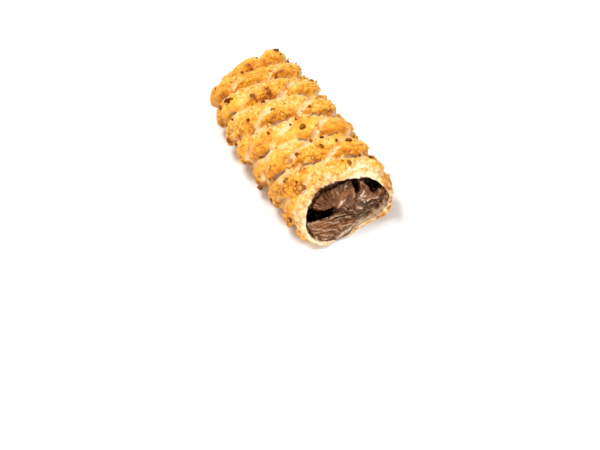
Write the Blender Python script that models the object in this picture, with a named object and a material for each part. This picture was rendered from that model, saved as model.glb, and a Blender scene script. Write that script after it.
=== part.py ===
"""Torn half of a baked nut nougat stick, lying on its flat tray side.

The stick runs along X, from its closed end at -X to the tear at +X, and Z is up from the tray.
Two solids: the pastry, which is a thick-walled shell with diamond scales, an open tear and chopped
nuts baked onto it, and the nougat cream that fills the shell and shows at the tear.

Places on the pastry are given by two numbers. The run is the distance along the skin from the middle
of the closed end. The turn goes round the girth, from 0 at the crown to -1 and 1 at the tray.
"""

import math

import bmesh
import bpy
import numpy as np
from mathutils import Euler, Matrix, Vector, noise

MM = 0.001

# Driving sizes of the pastry, at the bottom of its cuts
LENGTH = 101.5 * MM  # closed end to the plane of the tear, at its lower lip
CENTRING = 1.05 * MM  # shift along X that brings the middle of the finished stick to 0
HALF_WIDTH = 22.4 * MM
CROWN_RISE = 16.6 * MM  # widest level up to the crown
BELLY_DROP = 15.0 * MM  # widest level down to the tray
CROWN_POWER = 2.15  # 2 is an ellipse, more is squarer
BELLY_POWER = 3.0
TRAY_TRIM = 0.8 * MM  # depth that the tray takes off the belly
SWELLING = 0.012  # share by which the width grows and the rise shrinks, and back again, along the stick
SWELLING_LENGTH = 17 * MM

# Closed end
END_DEPTH = 7.0 * MM
END_POWER = 3.2
END_RADIUS = 19.0 * MM
END_NARROWING = 0.21
END_LOWERING = 0.26
END_FLATTENING = 5.4 * MM  # further drop of the middle of its crown, where it was pinched shut
END_TAPER = 38.0 * MM
END_SKEW = 5.8 * MM  # how much shorter the stick is along its -Y side than along its +Y side
SEAM_LEVEL = 10.0 * MM
SEAM_DEPTH = 1.6 * MM
SEAM_WIDTH = 2.2 * MM
SEAM_FADE = (0.5, 0.98)  # shares of the full section between which the seam runs out

# Diamond scales between two families of slanting cuts, one deeper than the other
SCALE_LENGTH = 13.8 * MM
SCALES_ROUND = 5.5
SCALE_RISE = 2.3 * MM
SCALE_DOME = 1.0 * MM
SCALE_TIP = 1.3 * MM  # how much further a scale stands out towards the tear
RISING_SIDE = 3.0 * MM  # width of a scale's slope on its side away from the tear
FALLING_SIDE = 1.5 * MM  # width of its slope on the side towards the tear
# How far along the stick, in scale lengths, a cut of the shallower and of the deeper family lies at these turns
CUT_TURNS = (-1.0, -0.45, -0.35, -0.2, -0.09, 0.0, 0.09, 0.27, 0.40, 1.0)
FIRST_CUTS = (1.85, 0.79, 0.54, 0.30, 0.15, -0.03, -0.25, -0.74, -1.08, -2.8)
SECOND_CUTS = (-2.3, -0.98, -0.76, -0.46, -0.25, -0.14, -0.04, 0.17, 0.12, 1.7)
SHALLOW_CUTS = 0.22  # share of the rise that the shallower family of cuts leaves
CLOSED_CUTS = 0.35  # share of the rise that fills the cuts where the dough has run together
CLOSED_PATCH = 9 * MM
CUT_DRIFT = 1.2 * MM
DRIFT_LENGTH = 17 * MM
SCALES_START = (5 * MM, 17 * MM)  # runs between which the scales reach their height
SCALES_FADE = (0.66, 0.82)  # turns between which the scales sink into the tray side
CRUMB_HEIGHT = 0.45 * MM
CRUMB_SIZE = 3.6 * MM
CRUMBS_FADE = (0.6, 0.8)

# Tear
LIP = LENGTH / 2
TEAR_SLANT = 16.5 * MM  # how much further the crown is torn back than the tray side
TEAR_SKEW = 6.6 * MM  # how much further the -Y side is torn back than the middle
TEAR_START = -3.5 * MM  # how far the slant starts beyond the lip
LIP_ROUNDING = 1.6 * MM
TEAR_BEVEL = 1.6 * MM  # how far the outer skin is torn back from the inner edge
TEAR_BEVEL_EXTRA = 2.4 * MM  # more of it on the upper right
TEAR_CALM = 5.0 * MM  # stretch before the tear on which the scales sink
TEAR_SCALES = 0.3  # share of their height that they keep at the tear
TEAR_RAGGED = 1.1 * MM
RIM_SWELL = 0.7 * MM
RIM_GRAIN = 2.6 * MM
# At these turns, how far the edge strays from the slanting plane and how thick the wall is there, in mm
TEAR_TURNS = [i / 10 for i in range(-10, 11)]
TEAR_STRAYS = [-3.0, -2.1, -1.7, -0.9, 0, 1.2, 2.4, 2.4, 1.4, 1.0, 0]
TEAR_STRAYS += [-0.6, -1.6, -1.2, -0.5, -1.2, -1.5, -2.0, -2.4, -3.6, -3.0]
TEAR_WALLS = [1.5, 1.5, 1.5, 1.5, 1.9, 2.8, 3.2, 3.4, 3.0, 3.1, 2.4]
TEAR_WALLS += [2.3, 2.1, 2.1, 2.5, 2.5, 2.2, 2.2, 1.9, 1.7, 1.5]

# Wall and cream
WALL = 2.4 * MM
TORN_STRETCH = (LIP - 30 * MM, LIP - 5 * MM)  # over which the wall takes on its thickness at the tear
CAVITY_END = 15.0 * MM  # from the closed end
CAVITY_BULGE = 3.5 * MM
CREAM_GAP = 0.35 * MM
FAR_END_GAP = 1.0 * MM  # at the cream's far end
FAR_END_BULGE = 1.5 * MM

# Chopped nuts on the crust. The large ones have places of their own: x in mm, turn and radius in mm.
LARGE_NUTS = [
    (-46, 0.31, 1.3),
    (-43, 0.02, 1.0),
    (-42, -0.09, 1.0),
    (-39, 0.37, 1.1),
    (-30, -0.31, 1.5),
    (-27, 0.13, 0.9),
    (-22, -0.15, 1.1),
    (-20, -0.05, 1.5),
    (-17, -0.12, 1.1),
    (-19, -0.53, 1.1),
    (-13, -0.26, 1.0),
    (0, -0.22, 1.1),
    (0, 0.02, 1.1),
    (6, -0.01, 1.4),
    (8, -0.60, 1.4),
    (15, 0.08, 1.1),
    (18, -0.15, 1.0),
    (21, 0.01, 1.2),
    (22, 0.21, 1.6),
    (24, -0.32, 1.1),
    (26, -0.17, 1.1),
    (30, 0.39, 1.2),
    (32, -0.26, 1.6),
    (34, 0.10, 1.1),
    (37, -0.50, 1.4),
]
SMALL_NUT_COUNT = 56
SMALL_NUT_SIZES = (0.75 * MM, 1.25 * MM)
SMALL_NUT_SPREAD = 0.60  # largest turn that they reach
SMALL_NUT_START = 17 * MM
SMALL_NUT_STOP = 5 * MM  # before the tear
EVEN_STEPS = (0.7548777, 0.5698403)  # steps along and round that leave no gaps between the nuts
NUT_BEDDING = 0.15  # how far a nut's middle stands out of the skin, as a share of its radius

# Materials: name, colour and roughness
BAKED_CRUST = ("baked_crust", (0.80, 0.44, 0.12), 0.55)
NOUGAT_CREAM = ("nut_nougat_cream", (0.21, 0.09, 0.04), 0.3)

# Mesh density
SQUEEZED_FROM = 22 * MM  # x from which the rows close up to the tear
STEPS_PER_SCALE = 8
ROUND_STEPS = round(SCALES_ROUND * STEPS_PER_SCALE)
RIM_STEPS = 4
FACE_STEPS = 11
CAVITY_STEPS = (0.0, 0.02, 0.05, 0.10, 0.18, 0.32, 0.52, 0.72, 0.88, 1.0)
CREAM_ROUND_STEPS = 40


def smooth_step(low, high, value):
    share = min(1.0, max(0.0, (value - low) / (high - low)))
    return share * share * (3 - 2 * share)


def chance(*numbers):
    """A fixed draw from 0 to 1 for whole numbers, such as a scale's row and column."""
    mixed = sum(number * factor for number, factor in zip(numbers, (12.9898, 78.233, 37.719)))
    return math.sin(mixed) * 43758.5453 % 1


def super_circle(angle, power):
    """Point of a rounded square of half-width 1, a quarter turn at most from the first axis."""
    return max(0.0, math.cos(angle)) ** (2 / power), math.sin(angle) ** (2 / power)


def section_shape(angle):
    """(across, up) of the section, each as a share. The angle is 0 at the crown and pi at the tray."""
    if angle <= math.pi / 2:
        up, across = super_circle(angle, CROWN_POWER)
        return across, up
    down, across = super_circle(math.pi - angle, BELLY_POWER)
    return across, -down


def even_table(points):
    """Share of the whole length that lies before each point of a line."""
    steps = np.linalg.norm(np.diff(np.array(points), axis=0), axis=1)
    run = np.concatenate(([0.0], np.cumsum(steps)))
    return run / run[-1], run[-1]


def girth_points(angles):
    for angle in angles:
        across, up = section_shape(angle)
        yield across * HALF_WIDTH, up * (CROWN_RISE if up > 0 else BELLY_DROP)


def end_points(angles):
    """(from the closed end, from its middle) along the rounding of the closed end."""
    for angle in angles:
        ahead, out = super_circle(angle, END_POWER)
        yield (1 - ahead) * END_DEPTH, out * END_RADIUS


SECTION_ANGLES = np.linspace(0, math.pi, 361)
SECTION_SHARES, HALF_GIRTH = even_table(list(girth_points(SECTION_ANGLES)))
END_ANGLES = np.linspace(0, math.pi / 2, 181)
END_SHARES, END_RUN = even_table(list(end_points(END_ANGLES)))
FULL_RUN = END_RUN + LENGTH - END_DEPTH
MIDDLE_RUN = END_RUN + LENGTH / 2 - END_DEPTH  # where x is 0
SCALE_WIDTH = 2 * HALF_GIRTH / SCALES_ROUND
CUT_SPACING = 1 / math.hypot(1 / SCALE_LENGTH, 1 / SCALE_WIDTH)


def at_run(run):
    """(x, share of the full section) where the skin has come this far from the middle of the closed end."""
    if run >= END_RUN:
        return run - END_RUN + END_DEPTH - LENGTH / 2, 1.0
    angle = np.interp(run / END_RUN, END_SHARES, END_ANGLES)
    ahead, out = super_circle(angle, END_POWER)
    return (1 - ahead) * END_DEPTH - LENGTH / 2, out


def run_at(x):
    return x + LENGTH / 2 - END_DEPTH + END_RUN


def end_taper(x):
    """1 at the closed end, falling to 0 where the stick has its full section."""
    return max(0.0, 1 - (x + LENGTH / 2) / END_TAPER) ** 2


def body_sizes(x):
    """Half-width, rise and drop of the pastry at x."""
    taper = end_taper(x)
    swell = SWELLING * math.sin(x / SWELLING_LENGTH)
    width = HALF_WIDTH * (1 - END_NARROWING * taper + swell)
    rise = CROWN_RISE * (1 - END_LOWERING * taper - swell)
    return width, rise, BELLY_DROP


def section_point(x, turn, inset=0.0, share=1.0):
    """Point of the section at x, drawn in by the inset and shrunk to the share about its middle."""
    width, rise, drop = body_sizes(x)
    angle = np.interp(abs(turn), SECTION_SHARES, SECTION_ANGLES)
    across, up = section_shape(angle)
    tall = (rise if up > 0 else drop) - inset
    side = math.copysign(share * across * (width - inset), turn)
    pinched = END_FLATTENING * end_taper(x) * share * max(0.0, up) * (1 - across * across)
    return Vector((x, side, drop - TRAY_TRIM + share * up * tall - pinched))


def plain_skin(run, turn):
    """The skin at the bottom of the cuts."""
    x, share = at_run(run)
    place = section_point(x, turn, share=share)
    place.x += END_SKEW * end_taper(x) * (1 - place.y / HALF_WIDTH) / 2
    return place


def outward(run, turn):
    """Direction that the plain skin faces."""
    if run < 1 * MM:
        return Vector((-1, 0, 0))
    along = plain_skin(run + 0.3 * MM, turn) - plain_skin(run - 0.3 * MM, turn)
    round_about = plain_skin(run, turn + 0.004) - plain_skin(run, turn - 0.004)
    return along.cross(round_about).normalized()


def noise_at(point, size, shift=0.0):
    return noise.noise(point / size + Vector((shift, shift * 0.7, shift * 1.3)))


def scales_mask(run, turn):
    """1 where the scales stand at full height, 0 on the tray side and on the middle of the closed end."""
    return (1 - smooth_step(*SCALES_FADE, abs(turn))) * smooth_step(*SCALES_START, run)


def in_scale(run, turn):
    """The scale's two numbers, and how far the spot lies across it from each of its two rear cuts, 0 to 1."""
    along = (run - MIDDLE_RUN) / SCALE_LENGTH + 1e-6  # so that a spot on a cut always counts as just past it
    deep = np.interp(turn, CUT_TURNS, SECOND_CUTS)
    apart = np.interp(turn, CUT_TURNS, FIRST_CUTS) - deep
    shallow = deep + round(apart * STEPS_PER_SCALE) / STEPS_PER_SCALE  # whole steps, so that it lies on a row
    row, column = math.floor(along - shallow), math.floor(along - deep)
    return row, column, along - shallow - row, along - deep - column


def row_shift(run, turn):
    """How far the rows of the skin move at this turn, so that the deeper cuts lie on them."""
    steps = np.interp(turn, CUT_TURNS, SECOND_CUTS) * STEPS_PER_SCALE
    return SCALE_LENGTH / STEPS_PER_SCALE * ((steps + 0.5) % 1 - 0.5) * scales_mask(run, turn)


def bank(share):
    """Height of a row of scales, at this share of the way from its rear cut to its front cut."""
    rising = smooth_step(0, RISING_SIDE / CUT_SPACING, share)
    return rising * smooth_step(0, FALLING_SIDE / CUT_SPACING, 1 - share)


def scale_relief(run, turn):
    """Height of the scales above the bottom of the cuts."""
    row, column, first, second = in_scale(run, turn)
    closed = CLOSED_CUTS * smooth_step(-0.1, 0.5, noise_at(plain_skin(run, turn), CLOSED_PATCH, 4.0))
    shallow, deep = closed + SHALLOW_CUTS, closed
    banks = (shallow + (1 - shallow) * bank(first)) * (deep + (1 - deep) * bank(second))
    dome = 16 * first * (1 - first) * second * (1 - second)
    lift = SCALE_DOME * dome * (0.4 + 1.2 * chance(row, column))
    tip = SCALE_TIP * (0.3 * first + 0.7 * second) * banks
    torn = smooth_step(0, TEAR_CALM, run_at(outer_edge(turn)) - run)
    kept = TEAR_SCALES + (1 - TEAR_SCALES) * torn
    return (SCALE_RISE * banks + lift + tip) * scales_mask(run, turn) * kept


def seam_relief(place, share):
    """The pinched seam that closes the end of the stick."""
    level = (place.z - SEAM_LEVEL) / SEAM_WIDTH
    return -SEAM_DEPTH * math.exp(-level * level) * (1 - smooth_step(*SEAM_FADE, share))


def drifted(run, turn):
    """Where the baking has moved a spot of the even pattern of cuts to."""
    calm = scales_mask(run, turn)
    where = Vector((run / DRIFT_LENGTH, 1.3 * math.cos(math.pi * turn), 1.3 * math.sin(math.pi * turn)))
    along = noise.noise(where + Vector((3.1, 0, 0))) * CUT_DRIFT * calm
    aside = noise.noise(where + Vector((0, 5.7, 0))) * CUT_DRIFT / HALF_GIRTH * calm
    return run + along, turn + aside


def skin_point(run, turn):
    """The outer skin, with its scales and crumbs."""
    relief = scale_relief(run, turn)
    run, turn = drifted(run, turn)
    place = plain_skin(run, turn)
    relief += CRUMB_HEIGHT * noise_at(place, CRUMB_SIZE) * (1 - smooth_step(*CRUMBS_FADE, abs(turn)))
    relief += seam_relief(place, at_run(run)[1])
    place += outward(run, turn) * relief
    place.z = max(0.0, place.z)
    return place


def ragged(turn):
    """How far the tear wanders along the stick at this turn."""
    ring = Vector((math.cos(math.pi * turn), math.sin(math.pi * turn), 0))
    return TEAR_RAGGED * (noise.noise(ring * 1.9 + Vector((0, 0, 2.3))) + 0.5 * noise.noise(ring * 5.3))


def height_share(turn):
    """0 at the tray and 1 at the crown."""
    up = section_shape(np.interp(abs(turn), SECTION_SHARES, SECTION_ANGLES))[1]
    return (up * (CROWN_RISE if up > 0 else BELLY_DROP) + BELLY_DROP) / (CROWN_RISE + BELLY_DROP)


def side_share(turn):
    """-1 and 1 at the widest places on the -Y and +Y sides."""
    return math.copysign(section_shape(np.interp(abs(turn), SECTION_SHARES, SECTION_ANGLES))[0], turn)


def torn_back(height, side):
    """How far the plane of the tear lies behind the lip at a height share and a side share."""
    back = TEAR_START + TEAR_SLANT * height - TEAR_SKEW * side
    return LIP_ROUNDING * math.log1p(math.exp(back / LIP_ROUNDING))


def inner_edge(turn):
    """x of the tear on the inside of the wall."""
    stray = np.interp(turn, TEAR_TURNS, TEAR_STRAYS) * MM
    return LIP - torn_back(height_share(turn), side_share(turn)) + ragged(turn) + stray


def outer_edge(turn):
    """x of the tear on the outer skin."""
    upper_right = smooth_step(0.0, 0.2, turn) * (1 - smooth_step(0.3, 0.5, turn))
    bevel = TEAR_BEVEL * smooth_step(0.0, 0.4, height_share(turn)) + TEAR_BEVEL_EXTRA * upper_right
    return inner_edge(turn) - bevel + 0.5 * ragged(turn + 0.37)


def wall_inset(x, turn):
    """Thickness of the wall below the cuts."""
    torn = np.interp(turn, TEAR_TURNS, TEAR_WALLS) * MM
    return WALL + (torn - WALL) * smooth_step(*TORN_STRETCH, x)


def cavity_point(x, turn, share=1.0, gap=0.0):
    return section_point(x, turn, inset=wall_inset(x, turn) + gap, share=share)


def sheet(name, rows, columns):
    """A closed body made from a grid: each row is a function of the turn. Its seam and poles are welded."""
    body = bmesh.new()
    bmesh.ops.create_grid(body, x_segments=len(rows) - 1, y_segments=columns, size=1)
    for corner in body.verts:
        place = rows[round((corner.co.x + 1) / 2 * (len(rows) - 1))]
        column = round((corner.co.y + 1) / 2 * columns) % columns
        corner.co = place(column / columns * 2 - 1)
    bmesh.ops.remove_doubles(body, verts=body.verts, dist=0.01 * MM)
    bmesh.ops.dissolve_degenerate(body, edges=body.edges, dist=0.005 * MM)
    bmesh.ops.triangulate(body, faces=body.faces, quad_method="SHORT_EDGE")
    bmesh.ops.recalc_face_normals(body, faces=body.faces)
    mesh = bpy.data.meshes.new(name)
    body.to_mesh(mesh)
    body.free()
    return mesh


def pastry_rows():
    """One function for each row of the pastry's sheet, from the closed end over the rim into the cavity."""
    step = SCALE_LENGTH / STEPS_PER_SCALE
    free = MIDDLE_RUN + SQUEEZED_FROM

    def on_skin(run):
        def place(turn):
            if run <= free:
                return skin_point(run + row_shift(run, turn), turn)
            torn = run_at(outer_edge(turn))
            return skin_point(free + (run - free) / (FULL_RUN - free) * (torn - free), turn)

        return place

    def on_rim(share):
        def place(turn):
            outer = skin_point(run_at(outer_edge(turn)), turn)
            inner = cavity_point(inner_edge(turn), turn)
            swell = RIM_SWELL * math.sin(math.pi * share) * (1 + noise_at(outer, RIM_GRAIN, 9.0 * share))
            return outer.lerp(inner, share) + Vector((swell, 0, 0))

        return place

    def in_cavity(back):
        def place(turn):
            edge = inner_edge(turn)
            return cavity_point(edge + (CAVITY_END - LENGTH / 2 - edge) * back, turn)

        return place

    def on_cavity_end(share):
        def place(turn):
            bulge = CAVITY_BULGE * (1 - math.sqrt(share))
            return cavity_point(CAVITY_END - LENGTH / 2 - bulge, turn, share=share)

        return place

    first = MIDDLE_RUN % step
    plain = 3 * step  # the first rows lie on the plain middle of the closed end
    runs = [0.0, *np.arange(first + step, plain + first, 2 * step)]
    runs += [*np.arange(plain + first + step, FULL_RUN - step / 2, step), FULL_RUN]
    rows = [on_skin(run) for run in runs]
    rows += [on_rim(i / RIM_STEPS) for i in range(1, RIM_STEPS)]
    rows += [in_cavity(back) for back in CAVITY_STEPS]
    rows += [on_cavity_end(share) for share in (0.8, 0.45, 0.0)]
    return rows


def small_nut_places():
    """Run, turn and radius of the small nuts, which lie evenly over the topped part of the skin."""
    low, high = SMALL_NUT_SIZES
    for index in range(SMALL_NUT_COUNT):
        along, aside = ((0.5 + index * step) % 1 for step in EVEN_STEPS)
        turn = (2 * aside - 1) * SMALL_NUT_SPREAD
        stop = run_at(outer_edge(turn)) - SMALL_NUT_STOP
        run = SMALL_NUT_START + (stop - SMALL_NUT_START) * along
        yield run, turn, low + (high - low) * chance(index, 5)


def nut_pieces():
    """Chopped nuts, bedded in the skin, as small uneven solids."""
    places = [(run_at(x * MM), turn, radius * MM) for x, turn, radius in LARGE_NUTS]
    places += small_nut_places()
    for index, (run, turn, radius) in enumerate(places):
        middle = skin_point(run, turn) + outward(run, turn) * radius * NUT_BEDDING
        nut = bmesh.new()
        bmesh.ops.create_icosphere(nut, subdivisions=1, radius=radius)
        for corner_index, corner in enumerate(nut.verts):
            corner.co *= 0.85 + 0.35 * chance(index, corner_index, 3)
        squash = Matrix.Diagonal((1.15, 0.95, 0.62 + 0.3 * chance(index, 7), 1))
        turned = Euler([math.tau * chance(index, axis, 11) for axis in range(3)]).to_matrix().to_4x4()
        bmesh.ops.transform(nut, matrix=Matrix.Translation(middle) @ turned @ squash, verts=nut.verts)
        mesh = bpy.data.meshes.new(f"nut_{index:02d}")
        nut.to_mesh(mesh)
        nut.free()
        yield bpy.data.objects.new(mesh.name, mesh)


# The torn face of the cream. Each feature lies at (side, level), where -1 and 1 are the cavity's
# left and right walls and its floor and crown, with its half-sizes and then its height or depth.
CREAM_DEPTH = 5.0 * MM  # behind the plane of the tear
FLOOR_DEPTH = 6.2 * MM  # the same, on the floor at the right
TONGUE_REACH = 3.9 * MM
TONGUE_LEVELS = (-1.0, -0.38)  # the tongue slopes back between these levels
TONGUE_SIDES = (-0.20, 0.50)  # and ends between these sides
CEILING_REACH = 0.8 * MM
LOBES = [
    (0.03, 0.36, 0.28, 0.40, 1.8 * MM),  # stretched lobe under the crown
    (0.58, 0.22, 0.22, 0.28, 1.7 * MM),  # lump between the two upper pockets
    (0.72, -0.38, 0.26, 0.17, -1.6 * MM),  # dip on the right, above the floor
    (-0.24, -0.16, 0.11, 0.11, -2.2 * MM),  # dip where the lobe's folds meet
]
POCKETS = [
    (-0.82, -0.16, 0.25, 0.19, 12 * MM),  # wide, at the left wall above the tongue
    (-0.48, -0.18, 0.20, 0.12, 11 * MM),  # and its narrower inner end
    (0.83, 0.50, 0.18, 0.25, 11 * MM),  # under the crown, beside the right wall
    (0.37, 0.62, 0.06, 0.22, 8 * MM),  # narrow, beside the lobe
]
POCKET_FALL = Vector((-0.60, 0.12, -0.79))  # direction in which the pockets run into the cream


def bump(side, level, feature, power=1.5):
    middle_side, middle_level, half_side, half_level, size = feature
    away = ((side - middle_side) / half_side) ** 2 + ((level - middle_level) / half_level) ** 2
    return size * math.exp(-(min(away, 9.0) ** power))


def cream_depth(side, level):
    """How far the cream's face lies behind the plane of the tear."""
    low = 1 - smooth_step(*TONGUE_LEVELS, level)
    right = smooth_step(*TONGUE_SIDES, side)
    depth = CREAM_DEPTH - low * (TONGUE_REACH * (1 - right) - (FLOOR_DEPTH - CREAM_DEPTH) * right)
    depth -= CEILING_REACH * smooth_step(0.6, 0.95, level)
    return depth - sum(bump(side, level, lobe) for lobe in LOBES)


def kept_in_cavity(place):
    """The place, or the nearest one within the cavity."""
    width, rise, drop = body_sizes(place.x)
    up = place.z - drop + TRAY_TRIM
    tall, power = (rise, CROWN_POWER) if up > 0 else (drop, BELLY_POWER)
    angle = math.atan2(abs(place.y / width) ** (power / 2), abs(up / tall) ** (power / 2))
    angle = angle if up > 0 else math.pi - angle
    turn = math.copysign(np.interp(angle, SECTION_ANGLES, SECTION_SHARES), place.y)
    inset = wall_inset(place.x, turn) + CREAM_GAP
    size = (abs(place.y / (width - inset)) ** power + abs(up / (tall - inset)) ** power) ** (1 / power)
    if size > 1:
        place.y /= size
        place.z = up / size + drop - TRAY_TRIM
    return place


def cream_face(turn, share):
    """Point of the cream's torn face, from its middle (share 0) out to the cavity's wall (share 1)."""
    x = LIP - TEAR_SLANT
    for _ in range(3):
        place = cavity_point(x, turn, share=share, gap=CREAM_GAP)
        width, rise, drop = body_sizes(x)
        up = place.z - drop + TRAY_TRIM
        side = place.y / (width - WALL)
        level = up / ((rise if up > 0 else drop) - WALL)
        tear = LIP - torn_back(max(0.0, place.z) / (rise + drop), place.y / width)
        x = tear - cream_depth(side, level)
    fall = max(bump(side, level, pocket, 2.5) for pocket in POCKETS) * (1 - smooth_step(0.9, 1.0, share))
    if fall > 0.1 * MM:
        place = kept_in_cavity(place + fall * POCKET_FALL)
    return place


def cream_rows():
    """One function for each row of the cream's sheet, from the middle of its face back to its far end."""
    far = CAVITY_END - LENGTH / 2 + FAR_END_GAP

    def on_face(share):
        return lambda turn: cream_face(turn, share)

    def on_body(back):
        def place(turn):
            edge = cream_face(turn, 1.0).x
            return cavity_point(edge + (far - edge) * back, turn, gap=CREAM_GAP)

        return place

    def on_far_end(share):
        x = far - FAR_END_BULGE * (1 - share)
        return lambda turn: cavity_point(x, turn, share=share, gap=CREAM_GAP)

    rows = [on_face((i / FACE_STEPS) ** 0.8) for i in range(FACE_STEPS + 1)]
    rows += [on_body(back) for back in (0.06, 0.15, 0.3, 0.5, 0.75, 1.0)]
    rows += [on_far_end(share) for share in (0.56, 0.0)]
    return rows


def material(name, colour, roughness):
    made = bpy.data.materials.new(name)
    made.use_nodes = True
    shader = made.node_tree.nodes["Principled BSDF"]
    shader.inputs["Base Color"].default_value = (*colour, 1)
    shader.inputs["Roughness"].default_value = roughness
    made.diffuse_color = (*colour, 1)
    return made


def add_part(name, mesh, finish, collection):
    mesh.materials.append(material(*finish))
    part = bpy.data.objects.new(name, mesh)
    collection.objects.link(part)
    return part


def join_nuts(crust):
    """Fuses the chopped nuts to the crust with one Boolean, then removes their objects."""
    nuts = bpy.data.collections.new("chopped_nuts")
    bpy.context.scene.collection.children.link(nuts)
    for nut in nut_pieces():
        nuts.objects.link(nut)
    union = crust.modifiers.new("Nuts", "BOOLEAN")
    union.operation = "UNION"
    union.operand_type = "COLLECTION"
    union.collection = nuts
    union.solver = "EXACT"
    bpy.context.view_layer.update()
    graph = bpy.context.evaluated_depsgraph_get()
    joined = bpy.data.meshes.new_from_object(crust.evaluated_get(graph))
    crust.modifiers.remove(union)
    crust.data = joined
    for nut in list(nuts.objects):
        bpy.data.objects.remove(nut)
    bpy.data.collections.remove(nuts)


def main():
    for old in list(bpy.data.objects):
        bpy.data.objects.remove(old)
    stick = bpy.data.collections.new("nut_nougat_stick")
    bpy.context.scene.collection.children.link(stick)

    crust = add_part("crust", sheet("crust", pastry_rows(), ROUND_STEPS), BAKED_CRUST, stick)
    join_nuts(crust)
    add_part("cream", sheet("cream", cream_rows(), CREAM_ROUND_STEPS), NOUGAT_CREAM, stick)

    for part in stick.objects:
        part.location.x = CENTRING
        part.data.shade_smooth()
        part.data.set_sharp_from_angle(angle=math.radians(50))


main()
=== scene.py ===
import functools
import math
import random

import bmesh
import bpy
import numpy as np
from mathutils import Euler, Matrix, Vector, noise


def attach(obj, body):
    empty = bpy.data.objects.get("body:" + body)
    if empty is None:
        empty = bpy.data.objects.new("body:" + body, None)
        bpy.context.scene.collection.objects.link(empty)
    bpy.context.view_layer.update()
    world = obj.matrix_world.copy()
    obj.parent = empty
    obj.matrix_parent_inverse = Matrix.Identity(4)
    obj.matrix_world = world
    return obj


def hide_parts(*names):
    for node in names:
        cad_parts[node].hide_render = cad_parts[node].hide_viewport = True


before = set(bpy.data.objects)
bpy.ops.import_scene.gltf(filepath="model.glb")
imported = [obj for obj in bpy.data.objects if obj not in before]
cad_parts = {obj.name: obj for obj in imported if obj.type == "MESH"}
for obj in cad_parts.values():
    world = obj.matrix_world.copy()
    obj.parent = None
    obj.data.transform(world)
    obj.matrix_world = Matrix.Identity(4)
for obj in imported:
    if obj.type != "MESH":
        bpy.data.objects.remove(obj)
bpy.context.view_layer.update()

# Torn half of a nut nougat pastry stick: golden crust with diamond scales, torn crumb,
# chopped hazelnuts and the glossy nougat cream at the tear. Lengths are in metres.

mm = 0.001

# The stick's form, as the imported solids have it
stick = {
    "length": 101.5 * mm,
    "halfWidth": 22.4 * mm,
    "crownRise": 16.6 * mm,
    "bellyDrop": 15.0 * mm,
    "crownPower": 2.15,
    "bellyPower": 3.0,
    "trayTrim": 0.8 * mm,
    "swelling": 0.012,
    "swellingLength": 17 * mm,
    "endDepth": 7.0 * mm,
    "endPower": 3.2,
    "endRadius": 19.0 * mm,
    "endNarrowing": 0.21,
    "endLowering": 0.26,
    "endFlattening": 5.4 * mm,
    "endTaper": 38.0 * mm,
    "endSkew": 5.8 * mm,
    "seamLevel": 10.0 * mm,
    "seamDepth": 1.6 * mm,
    "seamWidth": 2.2 * mm,
    "seamFade": (0.5, 0.98),
    "wall": 2.4 * mm,
    "cavityEnd": 15.0 * mm,
    "centring": 1.05 * mm,  # shift along X that brings the middle of the finished stick to 0
}
lip = stick["length"] / 2


def smoothStep(low, high, value):
    share = min(1.0, max(0.0, (value - low) / (high - low)))
    return share * share * (3 - 2 * share)


def fade(low, high, value):
    return 1 - smoothStep(low, high, value)


def window(limits, value):  # rises from 0 to 1 between the first two limits, falls between the last two
    return smoothStep(*limits[:2], value) * fade(*limits[2:], value)


def mix(low, high, share):
    return low + (high - low) * share


scatter = {"factors": (12.9898, 78.233, 37.719), "spread": 43758.5453}


def chance(*numbers):  # a fixed draw from 0 to 1 for up to three numbers
    mixed = sum(number * factor for number, factor in zip(numbers, scatter["factors"]))
    return math.sin(mixed) * scatter["spread"] % 1


def noiseAt(place, size, shift):  # each shift gives other bumps of this size
    return noise.noise(place / size + Vector((shift, shift * 0.7, shift * 1.3)))


def uneven(place, field):  # a field is (amount, size of its bumps, shift)
    amount, size, shift = field
    return amount * noiseAt(place, size, shift)


def superCircle(angle, power):
    return max(0.0, math.cos(angle)) ** (2 / power), math.sin(angle) ** (2 / power)


def sectionShape(angle):  # (across, up) as shares, from the crown at 0 to the tray at pi
    if angle <= math.pi / 2:
        up, across = superCircle(angle, stick["crownPower"])
        return across, up
    down, across = superCircle(math.pi - angle, stick["bellyPower"])
    return across, -down


def evenTable(points):  # (how far along each point lies, as a share, and the whole length)
    steps = np.linalg.norm(np.diff(np.array(points), axis=0), axis=1)
    run = np.concatenate(([0.0], np.cumsum(steps)))
    return run / run[-1], run[-1]


def girthPoint(angle):
    across, up = sectionShape(angle)
    return across * stick["halfWidth"], up * (stick["crownRise"] if up > 0 else stick["bellyDrop"])


def endPoint(angle):
    ahead, out = superCircle(angle, stick["endPower"])
    return (1 - ahead) * stick["endDepth"], out * stick["endRadius"]


halfDegrees = 360  # in half a turn
sectionAngles = np.linspace(0, math.pi, halfDegrees + 1)
sectionShares, halfGirth = evenTable([girthPoint(angle) for angle in sectionAngles])
endAngles = np.linspace(0, math.pi / 2, halfDegrees // 2 + 1)
endShares, endRun = evenTable([endPoint(angle) for angle in endAngles])
fullRun = endRun + stick["length"] - stick["endDepth"]
middleRun = endRun + stick["length"] / 2 - stick["endDepth"]


def atRun(run):  # (x, share of the full section) this far along the skin from the closed end's middle
    if run >= endRun:
        return run - endRun + stick["endDepth"] - stick["length"] / 2, 1.0
    angle = float(np.interp(run / endRun, endShares, endAngles))
    ahead, out = superCircle(angle, stick["endPower"])
    return (1 - ahead) * stick["endDepth"] - stick["length"] / 2, out


def runAt(x):
    return x + stick["length"] / 2 - stick["endDepth"] + endRun


def endTaper(x):
    return max(0.0, 1 - (x + stick["length"] / 2) / stick["endTaper"]) ** 2


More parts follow.
